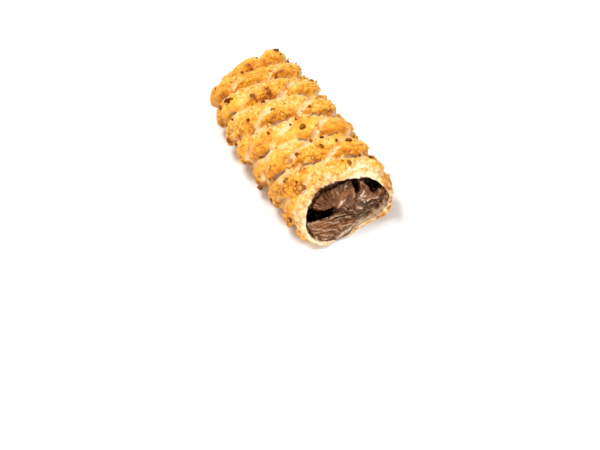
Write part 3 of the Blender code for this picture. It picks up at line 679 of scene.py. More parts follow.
# Cream: a glossy torn face inside the hollow, with a plain body behind it. Places on the face are given
# by a side and a level, from -1 to 1 between the hollow's walls and between its floor and its crown.
cream = {
    "roundSteps": 400,
    "faceRows": 130,
    "depth": 5.0 * mm,
    "floorDepth": 6.2 * mm,
    "tongueReach": 3.9 * mm,
    "tongueLevels": (-1.0, -0.38),
    "tongueSides": (-0.20, 0.50),
    "ceilingReach": 0.8 * mm,
    "ceilingLevels": (0.6, 0.95),
    "gap": -0.1 * mm,  # the face clings to the wall
    "pocketGap": 0.2 * mm,
    "bodyGap": 0.35 * mm,
    "farGap": 1.0 * mm,
    "faceCrowding": 0.85,
    "bodyRows": (0.02, 0.06, 0.15, 0.3, 0.5, 0.75, 1.0),
    "endRows": (0.56, 0.0),
    "endBulge": 1.5 * mm,
    # side, level, reach across and up, and height
    "lobes": [
        (0.03, 0.36, 0.28, 0.40, 1.8 * mm),
        (0.58, 0.22, 0.22, 0.28, 1.7 * mm),
        (0.72, -0.38, 0.26, 0.17, -1.6 * mm),
        (-0.24, -0.16, 0.11, 0.11, -2.2 * mm),
    ],
    "pockets": [
        (-0.82, -0.16, 0.25, 0.19, 12 * mm),
        (-0.48, -0.18, 0.20, 0.12, 11 * mm),
        (-0.33, -0.18, 0.10, 0.06, 6 * mm),
        (0.83, 0.50, 0.18, 0.25, 11 * mm),
        (0.37, 0.62, 0.050, 0.22, 8 * mm),
    ],
    "pocketFall": Vector((-0.60, 0.12, -0.79)),
    # share of the way out to the wall from which the face lies in shade, at these turns
    "darkTurns": (-0.60, -0.50, -0.30, -0.10, 0.08, 0.14, 0.30, 0.42),
    "darkStarts": (1.2, 0.66, 0.60, 0.62, 0.74, 0.72, 0.78, 1.2),
    "halfAcross": 20 * mm,
    "halfUp": 13.5 * mm,
    # height and half-width in mm, and the places that a fold runs through: the fan of folds in the
    # upper left lobe, the arcs beside it, knobs, the combed tongue, and the wet lines on the right
    "folds": [
        (0.45, 0.45, [(-0.63, 0.44), (-0.49, 0.22), (-0.3, 0.02)]),
        (0.5, 0.45, [(-0.49, 0.56), (-0.37, 0.25), (-0.28, 0.03)]),
        (0.5, 0.42, [(-0.38, 0.61), (-0.3, 0.31), (-0.25, 0.06)]),
        (0.5, 0.42, [(-0.29, 0.67), (-0.25, 0.41), (-0.23, 0.09)]),
        (0.5, 0.45, [(-0.18, 0.69), (-0.19, 0.41), (-0.2, 0.1)]),
        (0.45, 0.5, [(-0.69, 0.23), (-0.53, 0.13), (-0.35, 0.02)]),
        (-0.35, 0.4, [(-0.57, 0.5), (-0.43, 0.235), (-0.3, 0.04)]),
        (-0.4, 0.38, [(-0.435, 0.585), (-0.335, 0.28), (-0.27, 0.06)]),
        (-0.35, 0.38, [(-0.335, 0.64), (-0.275, 0.36), (-0.25, 0.12)]),
        (-0.3, 0.4, [(-0.235, 0.68), (-0.22, 0.41), (-0.21, 0.15)]),
        (-0.3, 0.45, [(-0.66, 0.34), (-0.5, 0.17), (-0.36, 0.06)]),
        (0.55, 0.45, [(-0.15, -0.07), (-0.1, 0.16), (-0.03, 0.34), (0.02, 0.51)]),
        (0.5, 0.45, [(-0.07, -0.01), (0.01, 0.21), (0.09, 0.39), (0.15, 0.56)]),
        (0.55, 0.5, [(0.11, 0.05), (0.19, 0.22), (0.27, 0.38), (0.27, 0.54)]),
        (0.45, 0.45, [(0.0, 0.07), (0.07, 0.01), (0.1, -0.14)]),
        (0.45, 0.4, [(0.13, -0.03), (0.17, -0.21), (0.13, -0.29)]),
        (0.45, 0.4, [(0.23, -0.1), (0.26, -0.31), (0.21, -0.42)]),
        (0.4, 0.4, [(0.01, -0.19), (0.07, -0.24), (0.13, -0.41)]),
        (0.55, 0.45, [(-0.92, -0.42), (-0.58, -0.41), (-0.38, -0.39),
            (-0.18, -0.31), (-0.02, -0.24), (0.17, -0.25)]),
        (0.62, 0.38, [(-0.89, -0.49), (-0.66, -0.46), (-0.41, -0.41),
            (-0.17, -0.37), (0.06, -0.37), (0.22, -0.45)]),
        (0.6, 0.36, [(-0.89, -0.55), (-0.73, -0.53), (-0.49, -0.5),
            (-0.25, -0.47), (0.0, -0.46), (0.19, -0.53)]),
        (0.64, 0.36, [(-0.87, -0.61), (-0.66, -0.59), (-0.42, -0.57),
            (-0.18, -0.55), (0.05, -0.56), (0.2, -0.66)]),
        (0.56, 0.36, [(-0.88, -0.66), (-0.73, -0.65), (-0.54, -0.64),
            (-0.3, -0.63), (-0.05, -0.63), (0.13, -0.7)]),
        (0.62, 0.38, [(-0.85, -0.71), (-0.65, -0.69), (-0.42, -0.69), (-0.17, -0.68), (0.06, -0.73)]),
        (0.58, 0.38, [(-0.84, -0.78), (-0.71, -0.76), (-0.52, -0.75), (-0.27, -0.73), (-0.04, -0.75)]),
        (0.6, 0.38, [(-0.78, -0.84), (-0.59, -0.82), (-0.39, -0.8), (-0.19, -0.78)]),
        (0.56, 0.38, [(-0.71, -0.9), (-0.52, -0.9), (-0.34, -0.86)]),
        (0.75, 0.5, [(0.28, -0.03), (0.4, 0.02), (0.51, 0.04), (0.63, 0.04),
            (0.79, -0.16), (0.98, -0.32)]),
        (0.6, 0.5, [(0.29, 0.09), (0.4, 0.14), (0.5, 0.21), (0.54, 0.25)]),
        (0.5, 0.45, [(0.37, 0.05), (0.48, 0.11), (0.61, 0.14), (0.73, 0.13)]),
        (0.5, 0.45, [(0.86, 0.21), (0.88, 0.13), (0.89, 0.03)]),
        (0.5, 0.45, [(0.26, -0.24), (0.4, -0.38), (0.51, -0.35), (0.66, -0.37), (0.89, -0.56)]),
        (0.45, 0.45, [(0.27, -0.53), (0.46, -0.56), (0.62, -0.54), (0.8, -0.73)]),
        (-0.5, 0.5, [(0.36, 0.42), (0.31, 0.3), (0.28, 0.14), (0.28, -0.06)]),
        (-0.3, 1.2, [(0.42, -0.1), (0.52, -0.14), (0.62, -0.22), (0.72, -0.3)]),
        (-0.25, 1.3, [(0.53, 0.46), (0.61, 0.34)]),
    ],
    # painted highlights on the wet face, and in the last three lines pale smears of dough film along its
    # lower edge: strength, half-width in mm and places
    "paintedHighlightsAndSmears": [
        (0.9, 0.36, [(0.49, 0.34), (0.4, 0.2)]),
        (0.8, 0.32, [(0.5, 0.23), (0.42, 0.16)]),
        (0.6, 0.28, [(0.35, 0.14), (0.41, 0.1), (0.46, 0.07)]),
        (1.0, 0.5, [(0.34, -0.3), (0.41, -0.38)]),
        (0.9, 0.36, [(0.47, -0.11), (0.5, -0.15)]),
        (0.7, 0.32, [(0.52, 0.05), (0.66, 0.04), (0.84, -0.16)]),
        (0.8, 0.32, [(0.25, 0.23), (0.29, 0.34)]),
        (0.7, 0.3, [(-0.13, -0.07), (-0.09, 0.13), (-0.04, 0.24)]),
        (0.8, 0.32, [(-0.09, 0.05), (-0.04, 0.17), (0.01, 0.25)]),
        (0.7, 0.32, [(0.12, -0.24), (0.14, -0.27)]),
        (0.7, 0.3, [(0.05, 0.01), (0.07, -0.02)]),
        (0.7, 0.3, [(0.19, -0.4), (0.22, -0.46)]),
        (0.6, 0.28, [(-0.01, -0.09), (0.03, -0.18)]),
        (0.6, 0.28, [(0.29, -0.2), (0.31, -0.36)]),
        (0.6, 0.3, [(0.87, 0.24), (0.87, 0.19), (0.89, 0.1)]),
        (0.5, 0.32, [(0.44, -0.65), (0.58, -0.67)]),
        (0.5, 0.3, [(0.59, -0.47), (0.72, -0.5)]),
        (0.55, 0.28, [(-0.9, -0.44), (-0.75, -0.41), (-0.59, -0.41)]),
        (0.55, 0.25, [(-0.52, -0.48), (-0.38, -0.53), (-0.2, -0.59)]),
        (0.55, 0.25, [(-0.85, -0.55), (-0.73, -0.59), (-0.61, -0.65)]),
        (0.6, 0.25, [(-0.62, -0.67), (-0.43, -0.7), (-0.33, -0.77)]),
        (0.6, 0.28, [(-0.82, -0.79), (-0.81, -0.87)]),
        (0.55, 0.25, [(-0.7, -0.87), (-0.6, -0.92)]),
        (0.55, 0.25, [(-0.71, -0.76), (-0.58, -0.8), (-0.44, -0.87)]),
        (0.5, 0.25, [(-0.22, -0.68), (-0.08, -0.71), (0.05, -0.76)]),
        (0.5, 0.25, [(-0.35, -0.38), (-0.17, -0.36), (-0.01, -0.37)]),
        (0.5, 0.25, [(-0.27, -0.48), (-0.06, -0.48), (0.1, -0.55)]),
        (0.5, 0.25, [(-0.84, -0.66), (-0.72, -0.7)]),
        (0.55, 0.9, [(-0.35, -1.0), (-0.2, -0.91), (-0.08, -0.88),
            (0.04, -0.89), (0.15, -0.94), (0.28, -1.0)]),
        (0.4, 0.35, [(-0.3, -0.96), (-0.16, -0.86), (-0.03, -0.92), (0.1, -0.88)]),
        (0.4, 0.7, [(0.25, -0.9), (0.45, -0.85), (0.6, -0.82), (0.75, -0.74)]),
    ],
    "wavers": ((0.020, 2.4 * mm), (0.012, 1.1 * mm)),  # how folds stray from their lines: share, size
    "waverUp": 1.5,
    "pocketSides": (0.96, 1.0),  # shares of the way out to the wall between which the pockets close
    "inPocket": (0.6 * mm, 4 * mm),
    "darkWidth": 0.09,
    "darkDrop": 1.2 * mm,
    "darkShade": 0.62,
    "tanLevels": (-0.3, 0.1),
    "tan": (0.02, 0.37),  # of the plain face, below and above those levels
    # painted highlight on the fold crests and painted shade in the grooves, below and above those levels
    "foldHighlightAndShade": (0.88, 0.5),
    # how far painted highlights and smears also raise their folds
    "paintedHighlightRise": 0.4,
}
# uneven fields of the cream: amount, size and shift
creamNoise = {
    "pocketEdge": (0.04, 3 * mm, 2.0),
    "wallEdge": (0.05, 1.5 * mm, 4.0),
    "ripples": (0.35 * mm, 2.4 * mm, 5.0),
    "fineRipples": (0.20 * mm, 1.0 * mm, 1.0),
    "folds": (0.9, 2 * mm, 3.0),
    "tan": (0.5, 5 * mm, 8.0),
    "shade": (0.5, 1.6 * mm, 11.0),
    "paintedHighlightAndSmear": (0.8, 1.0 * mm, 6.0),
}


def bump(side, level, feature, power=1.5):
    middleSide, middleLevel, halfSide, halfLevel, size = feature
    away = ((side - middleSide) / halfSide) ** 2 + ((level - middleLevel) / halfLevel) ** 2
    return size * math.exp(-min(away, 9.0) ** power)


def creamDepth(side, level):
    right = smoothStep(*cream["tongueSides"], side)
    floor = mix(cream["depth"] - cream["tongueReach"], cream["floorDepth"], right)
    depth = mix(cream["depth"], floor, fade(*cream["tongueLevels"], level))
    depth -= cream["ceilingReach"] * smoothStep(*cream["ceilingLevels"], level)
    return depth - sum(bump(side, level, lobe) for lobe in cream["lobes"])


def keptInCavity(place):
    width, rise, drop = bodySizes(place.x)
    up = place.z - drop + stick["trayTrim"]
    tall, power = (rise, stick["crownPower"]) if up > 0 else (drop, stick["bellyPower"])
    angle = math.atan2(abs(place.y / width) ** (power / 2), abs(up / tall) ** (power / 2))
    angle = angle if up > 0 else math.pi - angle
    turn = math.copysign(float(np.interp(angle, sectionAngles, sectionShares)), place.y)
    inset = wallInset(place.x, turn) + cream["pocketGap"]
    size = (abs(place.y / (width - inset)) ** power + abs(up / (tall - inset)) ** power) ** (1 / power)
    if size > 1:
        place.y /= size
        place.z = up / size + drop - stick["trayTrim"]
    return place


def creamFace(turn, share):  # (place, side, level, how far into a pocket)
    x = lip - tear["slant"]
    for _ in range(3):  # the wall's place and the face's depth hang on each other
        place = cavityPoint(x, turn, share=share, gap=cream["gap"])
        width, rise, drop = bodySizes(x)
        up = place.z - drop + stick["trayTrim"]
        side = place.y / (width - stick["wall"])
        level = up / ((rise if up > 0 else drop) - stick["wall"])
        torn = lip - tornBack(max(0.0, place.z) / (rise + drop), place.y / width)
        x = torn - creamDepth(side, level)
    stray = uneven(place, creamNoise["pocketEdge"])
    fall = max(bump(side + stray, level + stray, pocket, 2.5) for pocket in cream["pockets"])
    fall *= fade(*cream["pocketSides"], share)
    if fall > 0.05 * mm:
        place = keptInCavity(place + fall * cream["pocketFall"])
    return place, side, level, fall


def ridges(spots, lines):  # height of all the lines, at many (side, level) spots of the face at once
    stretch = np.array((cream["halfAcross"], cream["halfUp"]))
    spots = np.array(spots) * stretch
    height = np.zeros(len(spots))
    for rise, halfWidth, line in lines:
        corners = np.array(line) * stretch
        nearest = np.full(len(spots), np.inf)
        for start, stop in zip(corners, corners[1:]):
            step = stop - start
            share = np.clip((spots - start) @ step / (step @ step), 0, 1)
            nearest = np.minimum(nearest, np.linalg.norm(spots - start - share[:, None] * step, axis=1))
        height += rise * np.exp(-((nearest / (halfWidth * mm)) ** 2))
    return height


def waver(place, shift):  # how far a fold strays from its line, as a share of the face
    (wide, wideSize), (narrow, narrowSize) = cream["wavers"]
    return wide * noiseAt(place, wideSize, shift) + narrow * noiseAt(place, narrowSize, shift + 1)


def creamLooks(place, turn, share, level, fall, fold, paintedHighlightAndSmear):
    # (how far the face is raised, tan, shade, painted highlight and pale smear)
    start = float(np.interp(turn, cream["darkTurns"], cream["darkStarts"]))
    outwards = share + uneven(place, creamNoise["wallEdge"])
    atWall = smoothStep(start, start + cream["darkWidth"], outwards)
    inPocket = smoothStep(*cream["inPocket"], fall)
    ripples = uneven(place, creamNoise["ripples"]) + uneven(place, creamNoise["fineRipples"])
    fold += cream["paintedHighlightRise"] * paintedHighlightAndSmear
    raised = mm * fold * (0.9 + uneven(place, creamNoise["folds"])) + ripples
    raised = raised * (1 - inPocket) - cream["darkDrop"] * atWall
    upper = smoothStep(*cream["tanLevels"], level)
    # folds lighten the tan on their crests and darken it in their grooves: painted highlight and painted
    # shade
    tan = mix(*cream["tan"], upper) + mix(*cream["foldHighlightAndShade"], upper) * fold
    tan += uneven(place, creamNoise["tan"])
    shade = max(inPocket, atWall * (cream["darkShade"] + uneven(place, creamNoise["shade"])))
    return raised, tan, shade, paintedHighlightAndSmear * (1 - shade) * (0.8 + uneven(place, creamNoise["paintedHighlightAndSmear"]))


def creamRows():  # (kind, place along it) of each row
    shares = np.linspace(0, 1, cream["faceRows"]) ** cream["faceCrowding"]
    rows = [("face", float(share)) for share in shares]
    rows += [("body", share) for share in cream["bodyRows"]]
    return rows + [("end", share) for share in cream["endRows"]]


def makeCream(material):
    rows = creamRows()
    far = stick["cavityEnd"] - lip + cream["farGap"]
    body = bmesh.new()
    bmesh.ops.create_grid(body, x_segments=len(rows) - 1, y_segments=cream["roundSteps"], size=1)
    layers = [body.verts.layers.float.new(name) for name in ("raise", "tan", "shade", "paintedHighlightAndSmear")]
    face, spots = [], []
    for corner in body.verts:
        row, turn = gridNumbers(corner, len(rows), cream["roundSteps"])
        kind, share = rows[row]
        if kind == "face":
            place, side, level, fall = creamFace(turn, share)
            corner.co = place
            face.append((corner, place, turn, share, level, fall))
            spots.append((side + waver(place, 3.0), level + cream["waverUp"] * waver(place, 9.0)))
        elif kind == "body":
            edge = creamFace(turn, 1.0)[0].x
            corner.co = cavityPoint(mix(edge, far, share), turn, gap=cream["bodyGap"])
        else:
            bulge = cream["endBulge"] * (1 - share)
            corner.co = cavityPoint(far - bulge, turn, share=share, gap=cream["bodyGap"])
    folds, paintedHighlightsAndSmears = ridges(spots, cream["folds"]), ridges(spots, cream["paintedHighlightsAndSmears"])
    for (corner, *where), fold, paintedHighlightAndSmear in zip(face, folds, paintedHighlightsAndSmears):
        for layer, value in zip(layers, creamLooks(*where, float(fold), float(paintedHighlightAndSmear))):
            corner[layer] = value
    weldSheet(body)
    raiseSheet(body, [corner[layers[0]] for corner in body.verts])
    body.verts.layers.float.remove(layers[0])
    piece = addPiece("creamFilling", body, material)
    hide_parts("cream")


# Chopped hazelnuts, half sunk in the crust
nuts = {
    # x in mm, turn, radius in mm, and whether a pale cut faces out
    "large": [
        (-46, 0.31, 1.4, False), (-43, 0.02, 1.0, False), (-42, -0.09, 1.0, False),
        (-39, 0.37, 1.1, False), (-29, -0.31, 1.6, False), (-27, 0.10, 0.9, False),
        (-22, -0.15, 1.1, False), (-19, -0.05, 1.5, False), (-17, -0.12, 1.1, False),
        (-19, -0.53, 1.1, False), (-13, -0.26, 1.0, False), (0, -0.22, 1.1, False),
        (0, 0.02, 1.1, True), (7, -0.02, 1.4, False), (8, -0.60, 1.4, False),
        (14, 0.08, 1.1, False), (18, -0.15, 1.0, False), (21, 0.01, 1.2, False),
        (22, 0.21, 1.6, False), (24, -0.32, 1.2, True), (26, -0.17, 1.1, True),
        (30, 0.39, 1.2, False), (32, -0.26, 1.6, True), (34, 0.10, 1.1, False),
        (37, -0.50, 1.4, True),
    ],
    "largeScale": 1.12,
    "smallCount": 56,
    "smallSizes": (0.75 * mm, 1.25 * mm),
    "spread": 0.6,
    "start": 17 * mm,  # along the skin, from the closed end's middle
    "stop": 5 * mm,  # before the torn edge
    "evenSteps": (0.7548777, 0.5698403),  # of a low-discrepancy sequence
    "bedding": 0.0,  # from the skin to a nut's middle, as a share of its radius
    "smallBedding": -0.2,
    "openShare": 0.35,
    "stain": 0.28,  # how much a nut browns the skin beside it
    "stainSpread": 2.4 * mm,
    "lumpiness": 0.24,
    "lumpSpread": 20,
    "cutDepths": (0.35, 0.75),  # from the middle, as shares of the radius
    "cutTilt": 0.35,
    "otherCuts": 0.2,  # how far the cuts that don't face out look cut
    "shape": (1.15, 0.95),
    "flatness": (0.75, 0.95),
    "largeTones": 0.55,
    "smallTones": (0.2, 1.0, 0.7),  # least, most, and the power that favours the light ones
}


def nutPlaces():  # (run, turn, radius, whether a pale cut faces out)
    scale = nuts["largeScale"] * mm
    places = [(runAt(x * mm), turn, scale * radius, isOpen) for x, turn, radius, isOpen in nuts["large"]]
    low, high = nuts["smallSizes"]
    for index in range(nuts["smallCount"]):
        along, aside = ((0.5 + index * step) % 1 for step in nuts["evenSteps"])
        turn = (2 * aside - 1) * nuts["spread"]
        run = mix(nuts["start"], runAt(outerEdge(turn)) - nuts["stop"], along)
        radius = mix(low, high, chance(index, 5))
        places.append((run, turn, radius, chance(index, 8) < nuts["openShare"]))
    return places


probe = {"run": 0.3 * mm, "turn": 0.004}  # how far to each side the slope of the skin is read


def skinAt(run, turn):  # (place, direction out) on the finished skin
    ahead, aside = drifted(run, turn)
    place = plainSkin(ahead, aside)
    along = plainSkin(ahead + probe["run"], aside) - plainSkin(ahead - probe["run"], aside)
    around = plainSkin(ahead, aside + probe["turn"]) - plainSkin(ahead, aside - probe["turn"])
    out = along.cross(around).normalized()
    height, *_, rough = skinForm(run, turn, place)
    place += out * height
    return place + out * crustGrain(rough, place)[0], out


def choppedNut(body, cutLayer, middle, out, radius, isLarge, isOpen, draw):
    # a ball of nut whose skin side is kept and whose other sides are knife cuts
    made = bmesh.ops.create_icosphere(body, subdivisions=3 if isLarge else 2, radius=radius)["verts"]
    own = Vector((draw.random(), draw.random(), draw.random())) * nuts["lumpSpread"]
    for corner in made:
        corner.co *= 1 + nuts["lumpiness"] * noise.noise(corner.co / radius * 1.2 + own)
    turned = Euler([draw.uniform(0, math.tau) for _ in range(3)]).to_matrix()
    cuts = [Vector((draw.uniform(-1, 1), draw.uniform(-1, 1), draw.uniform(-1, 1))) for _ in range(3)]
    if isOpen:  # a pale cut faces out, so that the skin shows as a ring
        cuts[0] = turned.inverted() @ (out + cuts[0] * nuts["cutTilt"])
    for cut in cuts:
        edge = radius * draw.uniform(*nuts["cutDepths"])
        for corner in made:
            over = corner.co.dot(cut.normalized()) - edge
            if over > 0:
                corner.co -= cut.normalized() * over
                corner[cutLayer] = 1.0 if isOpen and cut is cuts[0] else nuts["otherCuts"]
    squash = Matrix.Diagonal((*nuts["shape"], draw.uniform(*nuts["flatness"]), 1))
    bmesh.ops.transform(body, matrix=Matrix.Translation(middle) @ turned.to_4x4() @ squash, verts=made)
    return made


def makeNuts(material):
    draw = random.Random(7)
    body = bmesh.new()
    cutLayer = body.verts.layers.float.new("cutFace")
    toneLayer = body.verts.layers.float.new("tone")
    for number, (run, turn, radius, isOpen) in enumerate(nutPlaces()):
        isLarge = number < len(nuts["large"])
        place, out = skinAt(run, turn)
        middle = place + out * radius * nuts["bedding" if isLarge else "smallBedding"]
        made = choppedNut(body, cutLayer, middle, out, radius, isLarge, isOpen, draw)
        darkest, lightest, power = nuts["smallTones"]
        tone = draw.random()
        tone = tone * nuts["largeTones"] if isLarge else mix(darkest, lightest, tone**power)
        for corner in made:
            corner[toneLayer] = tone
    bmesh.ops.recalc_face_normals(body, faces=body.faces)
    addPiece("choppedNuts", body, material)


# Crumbs of nut and dough, scattered over the topped part of the skin
crumbs = {
    "count": 420,
    "sizes": (0.3 * mm, 0.75 * mm),
    "smallness": 1.6,  # the power that favours small ones
    "spread": 0.62,
    "start": 12 * mm,
    "stop": 1.5 * mm,
    "tonePower": 0.75,
    "unevenness": (0.75, 1.2),
    "bedding": 0.2,
}


def makeCrumbs(material):
    draw = random.Random(21)
    body = bmesh.new()
    toneLayer = body.verts.layers.float.new("tone")
    low, high = crumbs["sizes"]
    for _ in range(crumbs["count"]):
        turn = draw.uniform(-1, 1) * crumbs["spread"]
        run = draw.uniform(crumbs["start"], runAt(outerEdge(turn)) - crumbs["stop"])
        radius = mix(low, high, draw.random() ** crumbs["smallness"])
        place, out = skinAt(run, turn)
        made = bmesh.ops.create_icosphere(body, subdivisions=1, radius=radius)["verts"]
        tone = draw.random() ** crumbs["tonePower"]
        for corner in made:
            corner.co *= draw.uniform(*crumbs["unevenness"])
            corner[toneLayer] = tone
        turned = Euler([draw.uniform(0, math.tau) for _ in range(3)]).to_matrix().to_4x4()
        bedded = Matrix.Translation(place + out * radius * crumbs["bedding"])
        bmesh.ops.transform(body, matrix=bedded @ turned, verts=made)
    bmesh.ops.recalc_face_normals(body, faces=body.faces)
    addPiece("bakedCrumbs", body, material)


# Materials: each takes values of its shader's sockets, noises as (scale, detail), uneven tones as
# (scale, detail, strength), its bump as (height, strength), and colours by tone
def startMaterial(name, sockets):
    material = bpy.data.materials.new(name)
    material.use_nodes = True
    shader = material.node_tree.nodes["Principled BSDF"]
    for socket, value in sockets.items():
        shader.inputs[socket].default_value = value
    return material, material.node_tree, shader


def addNode(tree, kind, **settings):
    node = tree.nodes.new(kind)
    for name, value in settings.items():
        setattr(node, name, value)
    return node


def readAttribute(tree, name):
    return addNode(tree, "ShaderNodeAttribute", attribute_name=name).outputs["Fac"]


def textureNode(tree, kind, scale, **settings):  # on the piece's own coordinates
    texture = addNode(tree, kind, **settings)
    texture.inputs["Scale"].default_value = scale
    tree.links.new(addNode(tree, "ShaderNodeTexCoord").outputs["Object"], texture.inputs["Vector"])
    return texture


def noiseNode(tree, scale, detail):
    texture = textureNode(tree, "ShaderNodeTexNoise", scale)
    texture.inputs["Detail"].default_value = detail
    texture.inputs["Roughness"].default_value = 0.55
    return texture.outputs["Fac"]


def unevenTone(tree, scale, detail, strength):  # noise centred on 0
    return mathNode(tree, "MULTIPLY_ADD", noiseNode(tree, scale, detail), strength, -strength / 2)


def grainNodes(tree, scale):  # (draw for each grain, nearness to its outline)
    draws = textureNode(tree, "ShaderNodeTexVoronoi", scale).outputs["Color"]
    cells = textureNode(tree, "ShaderNodeTexVoronoi", scale, feature="DISTANCE_TO_EDGE")
    single = addNode(tree, "ShaderNodeSeparateColor")
    tree.links.new(draws, single.inputs["Color"])
    near = mathNode(tree, "MULTIPLY_ADD", cells.outputs["Distance"], -5.0, 1.0, clamp=True)
    return single.outputs[0], near


def mathNode(tree, operation, first, second, third=None, clamp=False):
    node = addNode(tree, "ShaderNodeMath", operation=operation, use_clamp=clamp)
    for socket, value in zip(node.inputs, (first, second, third)):
        if value is None:
            continue
        if isinstance(value, (int, float)):
            socket.default_value = value
        else:
            tree.links.new(value, socket)
    return node.outputs["Value"]


def colourRamp(tree, value, stops):
    ramp = addNode(tree, "ShaderNodeValToRGB")
    elements = ramp.color_ramp.elements
    while len(elements) < len(stops):
        elements.new(0.5)
    for element, (place, colour) in zip(elements, stops):
        element.position = place
        element.color = (*colour, 1)
    tree.links.new(value, ramp.inputs["Fac"])
    return ramp.outputs["Color"]


def mixColour(tree, share, low, high):
    node = addNode(tree, "ShaderNodeMix", data_type="RGBA")
    tree.links.new(share, node.inputs["Factor"])
    for socket, value in ((node.inputs[6], low), (node.inputs[7], high)):
        if isinstance(value, tuple):
            socket.default_value = (*value, 1)
        else:
            tree.links.new(value, socket)
    return node.outputs[2]


def paint(tree, shader, colour, relief, bump):
    node = addNode(tree, "ShaderNodeBump")
    node.inputs["Distance"].default_value, node.inputs["Strength"].default_value = bump
    tree.links.new(relief, node.inputs["Height"])
    tree.links.new(node.outputs["Normal"], shader.inputs["Normal"])
    tree.links.new(colour, shader.inputs["Base Color"])


goldenCrust = {
    "sockets": {
        "Roughness": 0.5,
        "Specular IOR Level": 0.35,
        "Subsurface Weight": 0.12,
        "Subsurface Radius": (1.0, 0.55, 0.25),
        "Subsurface Scale": 0.7 * mm,
    },
    "patches": (380, 4.0, 0.9),
    "specks": (1100, 2.0, 0.5),
    "grainScale": 520,
    "grainTones": (0.24, -0.19),
    "outlineBrowningAndShade": 0.15,
    "rawSpecks": (1.4, 0.85),
    "filmSpecks": 0.5,
    "relief": (900, 4.0),
    "fineRelief": (2600, 2.0),
    "fineShare": 0.4,
    "bump": (0.28 * mm, 0.9),
    "bake": [
        (0.05, (1.0, 0.70, 0.33)),
        (0.30, (0.97, 0.585, 0.130)),
        (0.50, (0.92, 0.455, 0.038)),
        (0.70, (0.79, 0.315, 0.013)),
        (0.85, (0.55, 0.165, 0.006)),
        (1.00, (0.26, 0.06, 0.005)),
    ],
    "raw": (1.0, 0.76, 0.45),
    # the slits' raw dough, coloured darker as it looks in shadow: painted shade
    "slit": (0.46, 0.28, 0.17),
    "crumb": [
        (0.16, (1.0, 0.80, 0.52)),
        (0.42, (0.93, 0.58, 0.20)),
        (0.66, (0.72, 0.29, 0.045)),
        (1.00, (0.38, 0.12, 0.015)),
    ],
    "film": [
        (0.15, (1.0, 0.76, 0.50)),
        (0.50, (0.72, 0.43, 0.24)),
        (0.80, (0.26, 0.11, 0.045)),
        (1.00, (0.10, 0.03, 0.01)),
    ],
}


def crustMaterial():
    material, tree, shader = startMaterial("goldenCrust", goldenCrust["sockets"])
    names = ("bake", "raw", "rough", "slit", "crumb", "film")
    bake, raw, rough, slit, crumb, film = (readAttribute(tree, name) for name in names)
    patches, specks = (unevenTone(tree, *goldenCrust[name]) for name in ("patches", "specks"))
    own, near = grainNodes(tree, goldenCrust["grainScale"])
    grained = mathNode(tree, "MULTIPLY_ADD", own, *goldenCrust["grainTones"])
    # grain outlines darker: glaze browning and painted shade in the gaps
    grained = mathNode(tree, "MULTIPLY_ADD", near, goldenCrust["outlineBrowningAndShade"], grained)
    grained = mathNode(tree, "MULTIPLY", grained, rough)
    mottled = mathNode(tree, "ADD", mathNode(tree, "ADD", patches, specks), grained)
    bake = mathNode(tree, "ADD", bake, mottled, clamp=True)
    colour = colourRamp(tree, bake, goldenCrust["bake"])
    rawSpecks = mathNode(tree, "MULTIPLY_ADD", specks, *goldenCrust["rawSpecks"])
    raw = mathNode(tree, "MULTIPLY", raw, rawSpecks, clamp=True)
    colour = mixColour(tree, raw, colour, goldenCrust["raw"])
    # painted shade of the slits' raw dough
    colour = mixColour(tree, slit, colour, goldenCrust["slit"])
    colour = mixColour(tree, crumb, colour, colourRamp(tree, bake, goldenCrust["crumb"]))
    smeared = mathNode(tree, "MULTIPLY", film, 5.0, clamp=True)  # full from a fifth of the film on
    film = mathNode(tree, "MULTIPLY_ADD", specks, goldenCrust["filmSpecks"], film)
    colour = mixColour(tree, smeared, colour, colourRamp(tree, film, goldenCrust["film"]))
    outlines = mathNode(tree, "MULTIPLY", mathNode(tree, "MULTIPLY", near, -1.0), rough)
    fine = mathNode(tree, "MULTIPLY", noiseNode(tree, *goldenCrust["fineRelief"]), goldenCrust["fineShare"])
    relief = mathNode(tree, "ADD", noiseNode(tree, *goldenCrust["relief"]), fine)
    relief = mathNode(tree, "ADD", relief, outlines)
    paint(tree, shader, colour, relief, goldenCrust["bump"])
    return material


roastedHazelnut = {
    "sockets": {"Roughness": 0.5, "Specular IOR Level": 0.15, "Specular Tint": (1.0, 0.50, 0.20, 1)},
    "specks": (1100, 3.0),
    "speckStrength": 1.8,
    "contrast": (0.6, -0.34),
    "skin": [(0.1, (0.055, 0.010, 0.001)), (0.45, (0.19, 0.038, 0.002)), (0.9, (0.62, 0.20, 0.012))],
    "inside": [(0.0, (0.40, 0.14, 0.03)), (0.5, (0.70, 0.32, 0.07)), (0.9, (0.92, 0.52, 0.14))],
    "relief": (1800, 3.0),
    "bump": (0.15 * mm, 0.6),
}


def nutMaterial():
    material, tree, shader = startMaterial("roastedHazelnut", roastedHazelnut["sockets"])
    specks, strength = noiseNode(tree, *roastedHazelnut["specks"]), roastedHazelnut["speckStrength"]
    tone = mathNode(tree, "MULTIPLY_ADD", specks, strength, readAttribute(tree, "tone"))
    tone = mathNode(tree, "MULTIPLY_ADD", tone, *roastedHazelnut["contrast"], clamp=True)
    skin, inside = (colourRamp(tree, tone, roastedHazelnut[name]) for name in ("skin", "inside"))
    colour = mixColour(tree, readAttribute(tree, "cutFace"), skin, inside)
    paint(tree, shader, colour, noiseNode(tree, *roastedHazelnut["relief"]), roastedHazelnut["bump"])
    return material


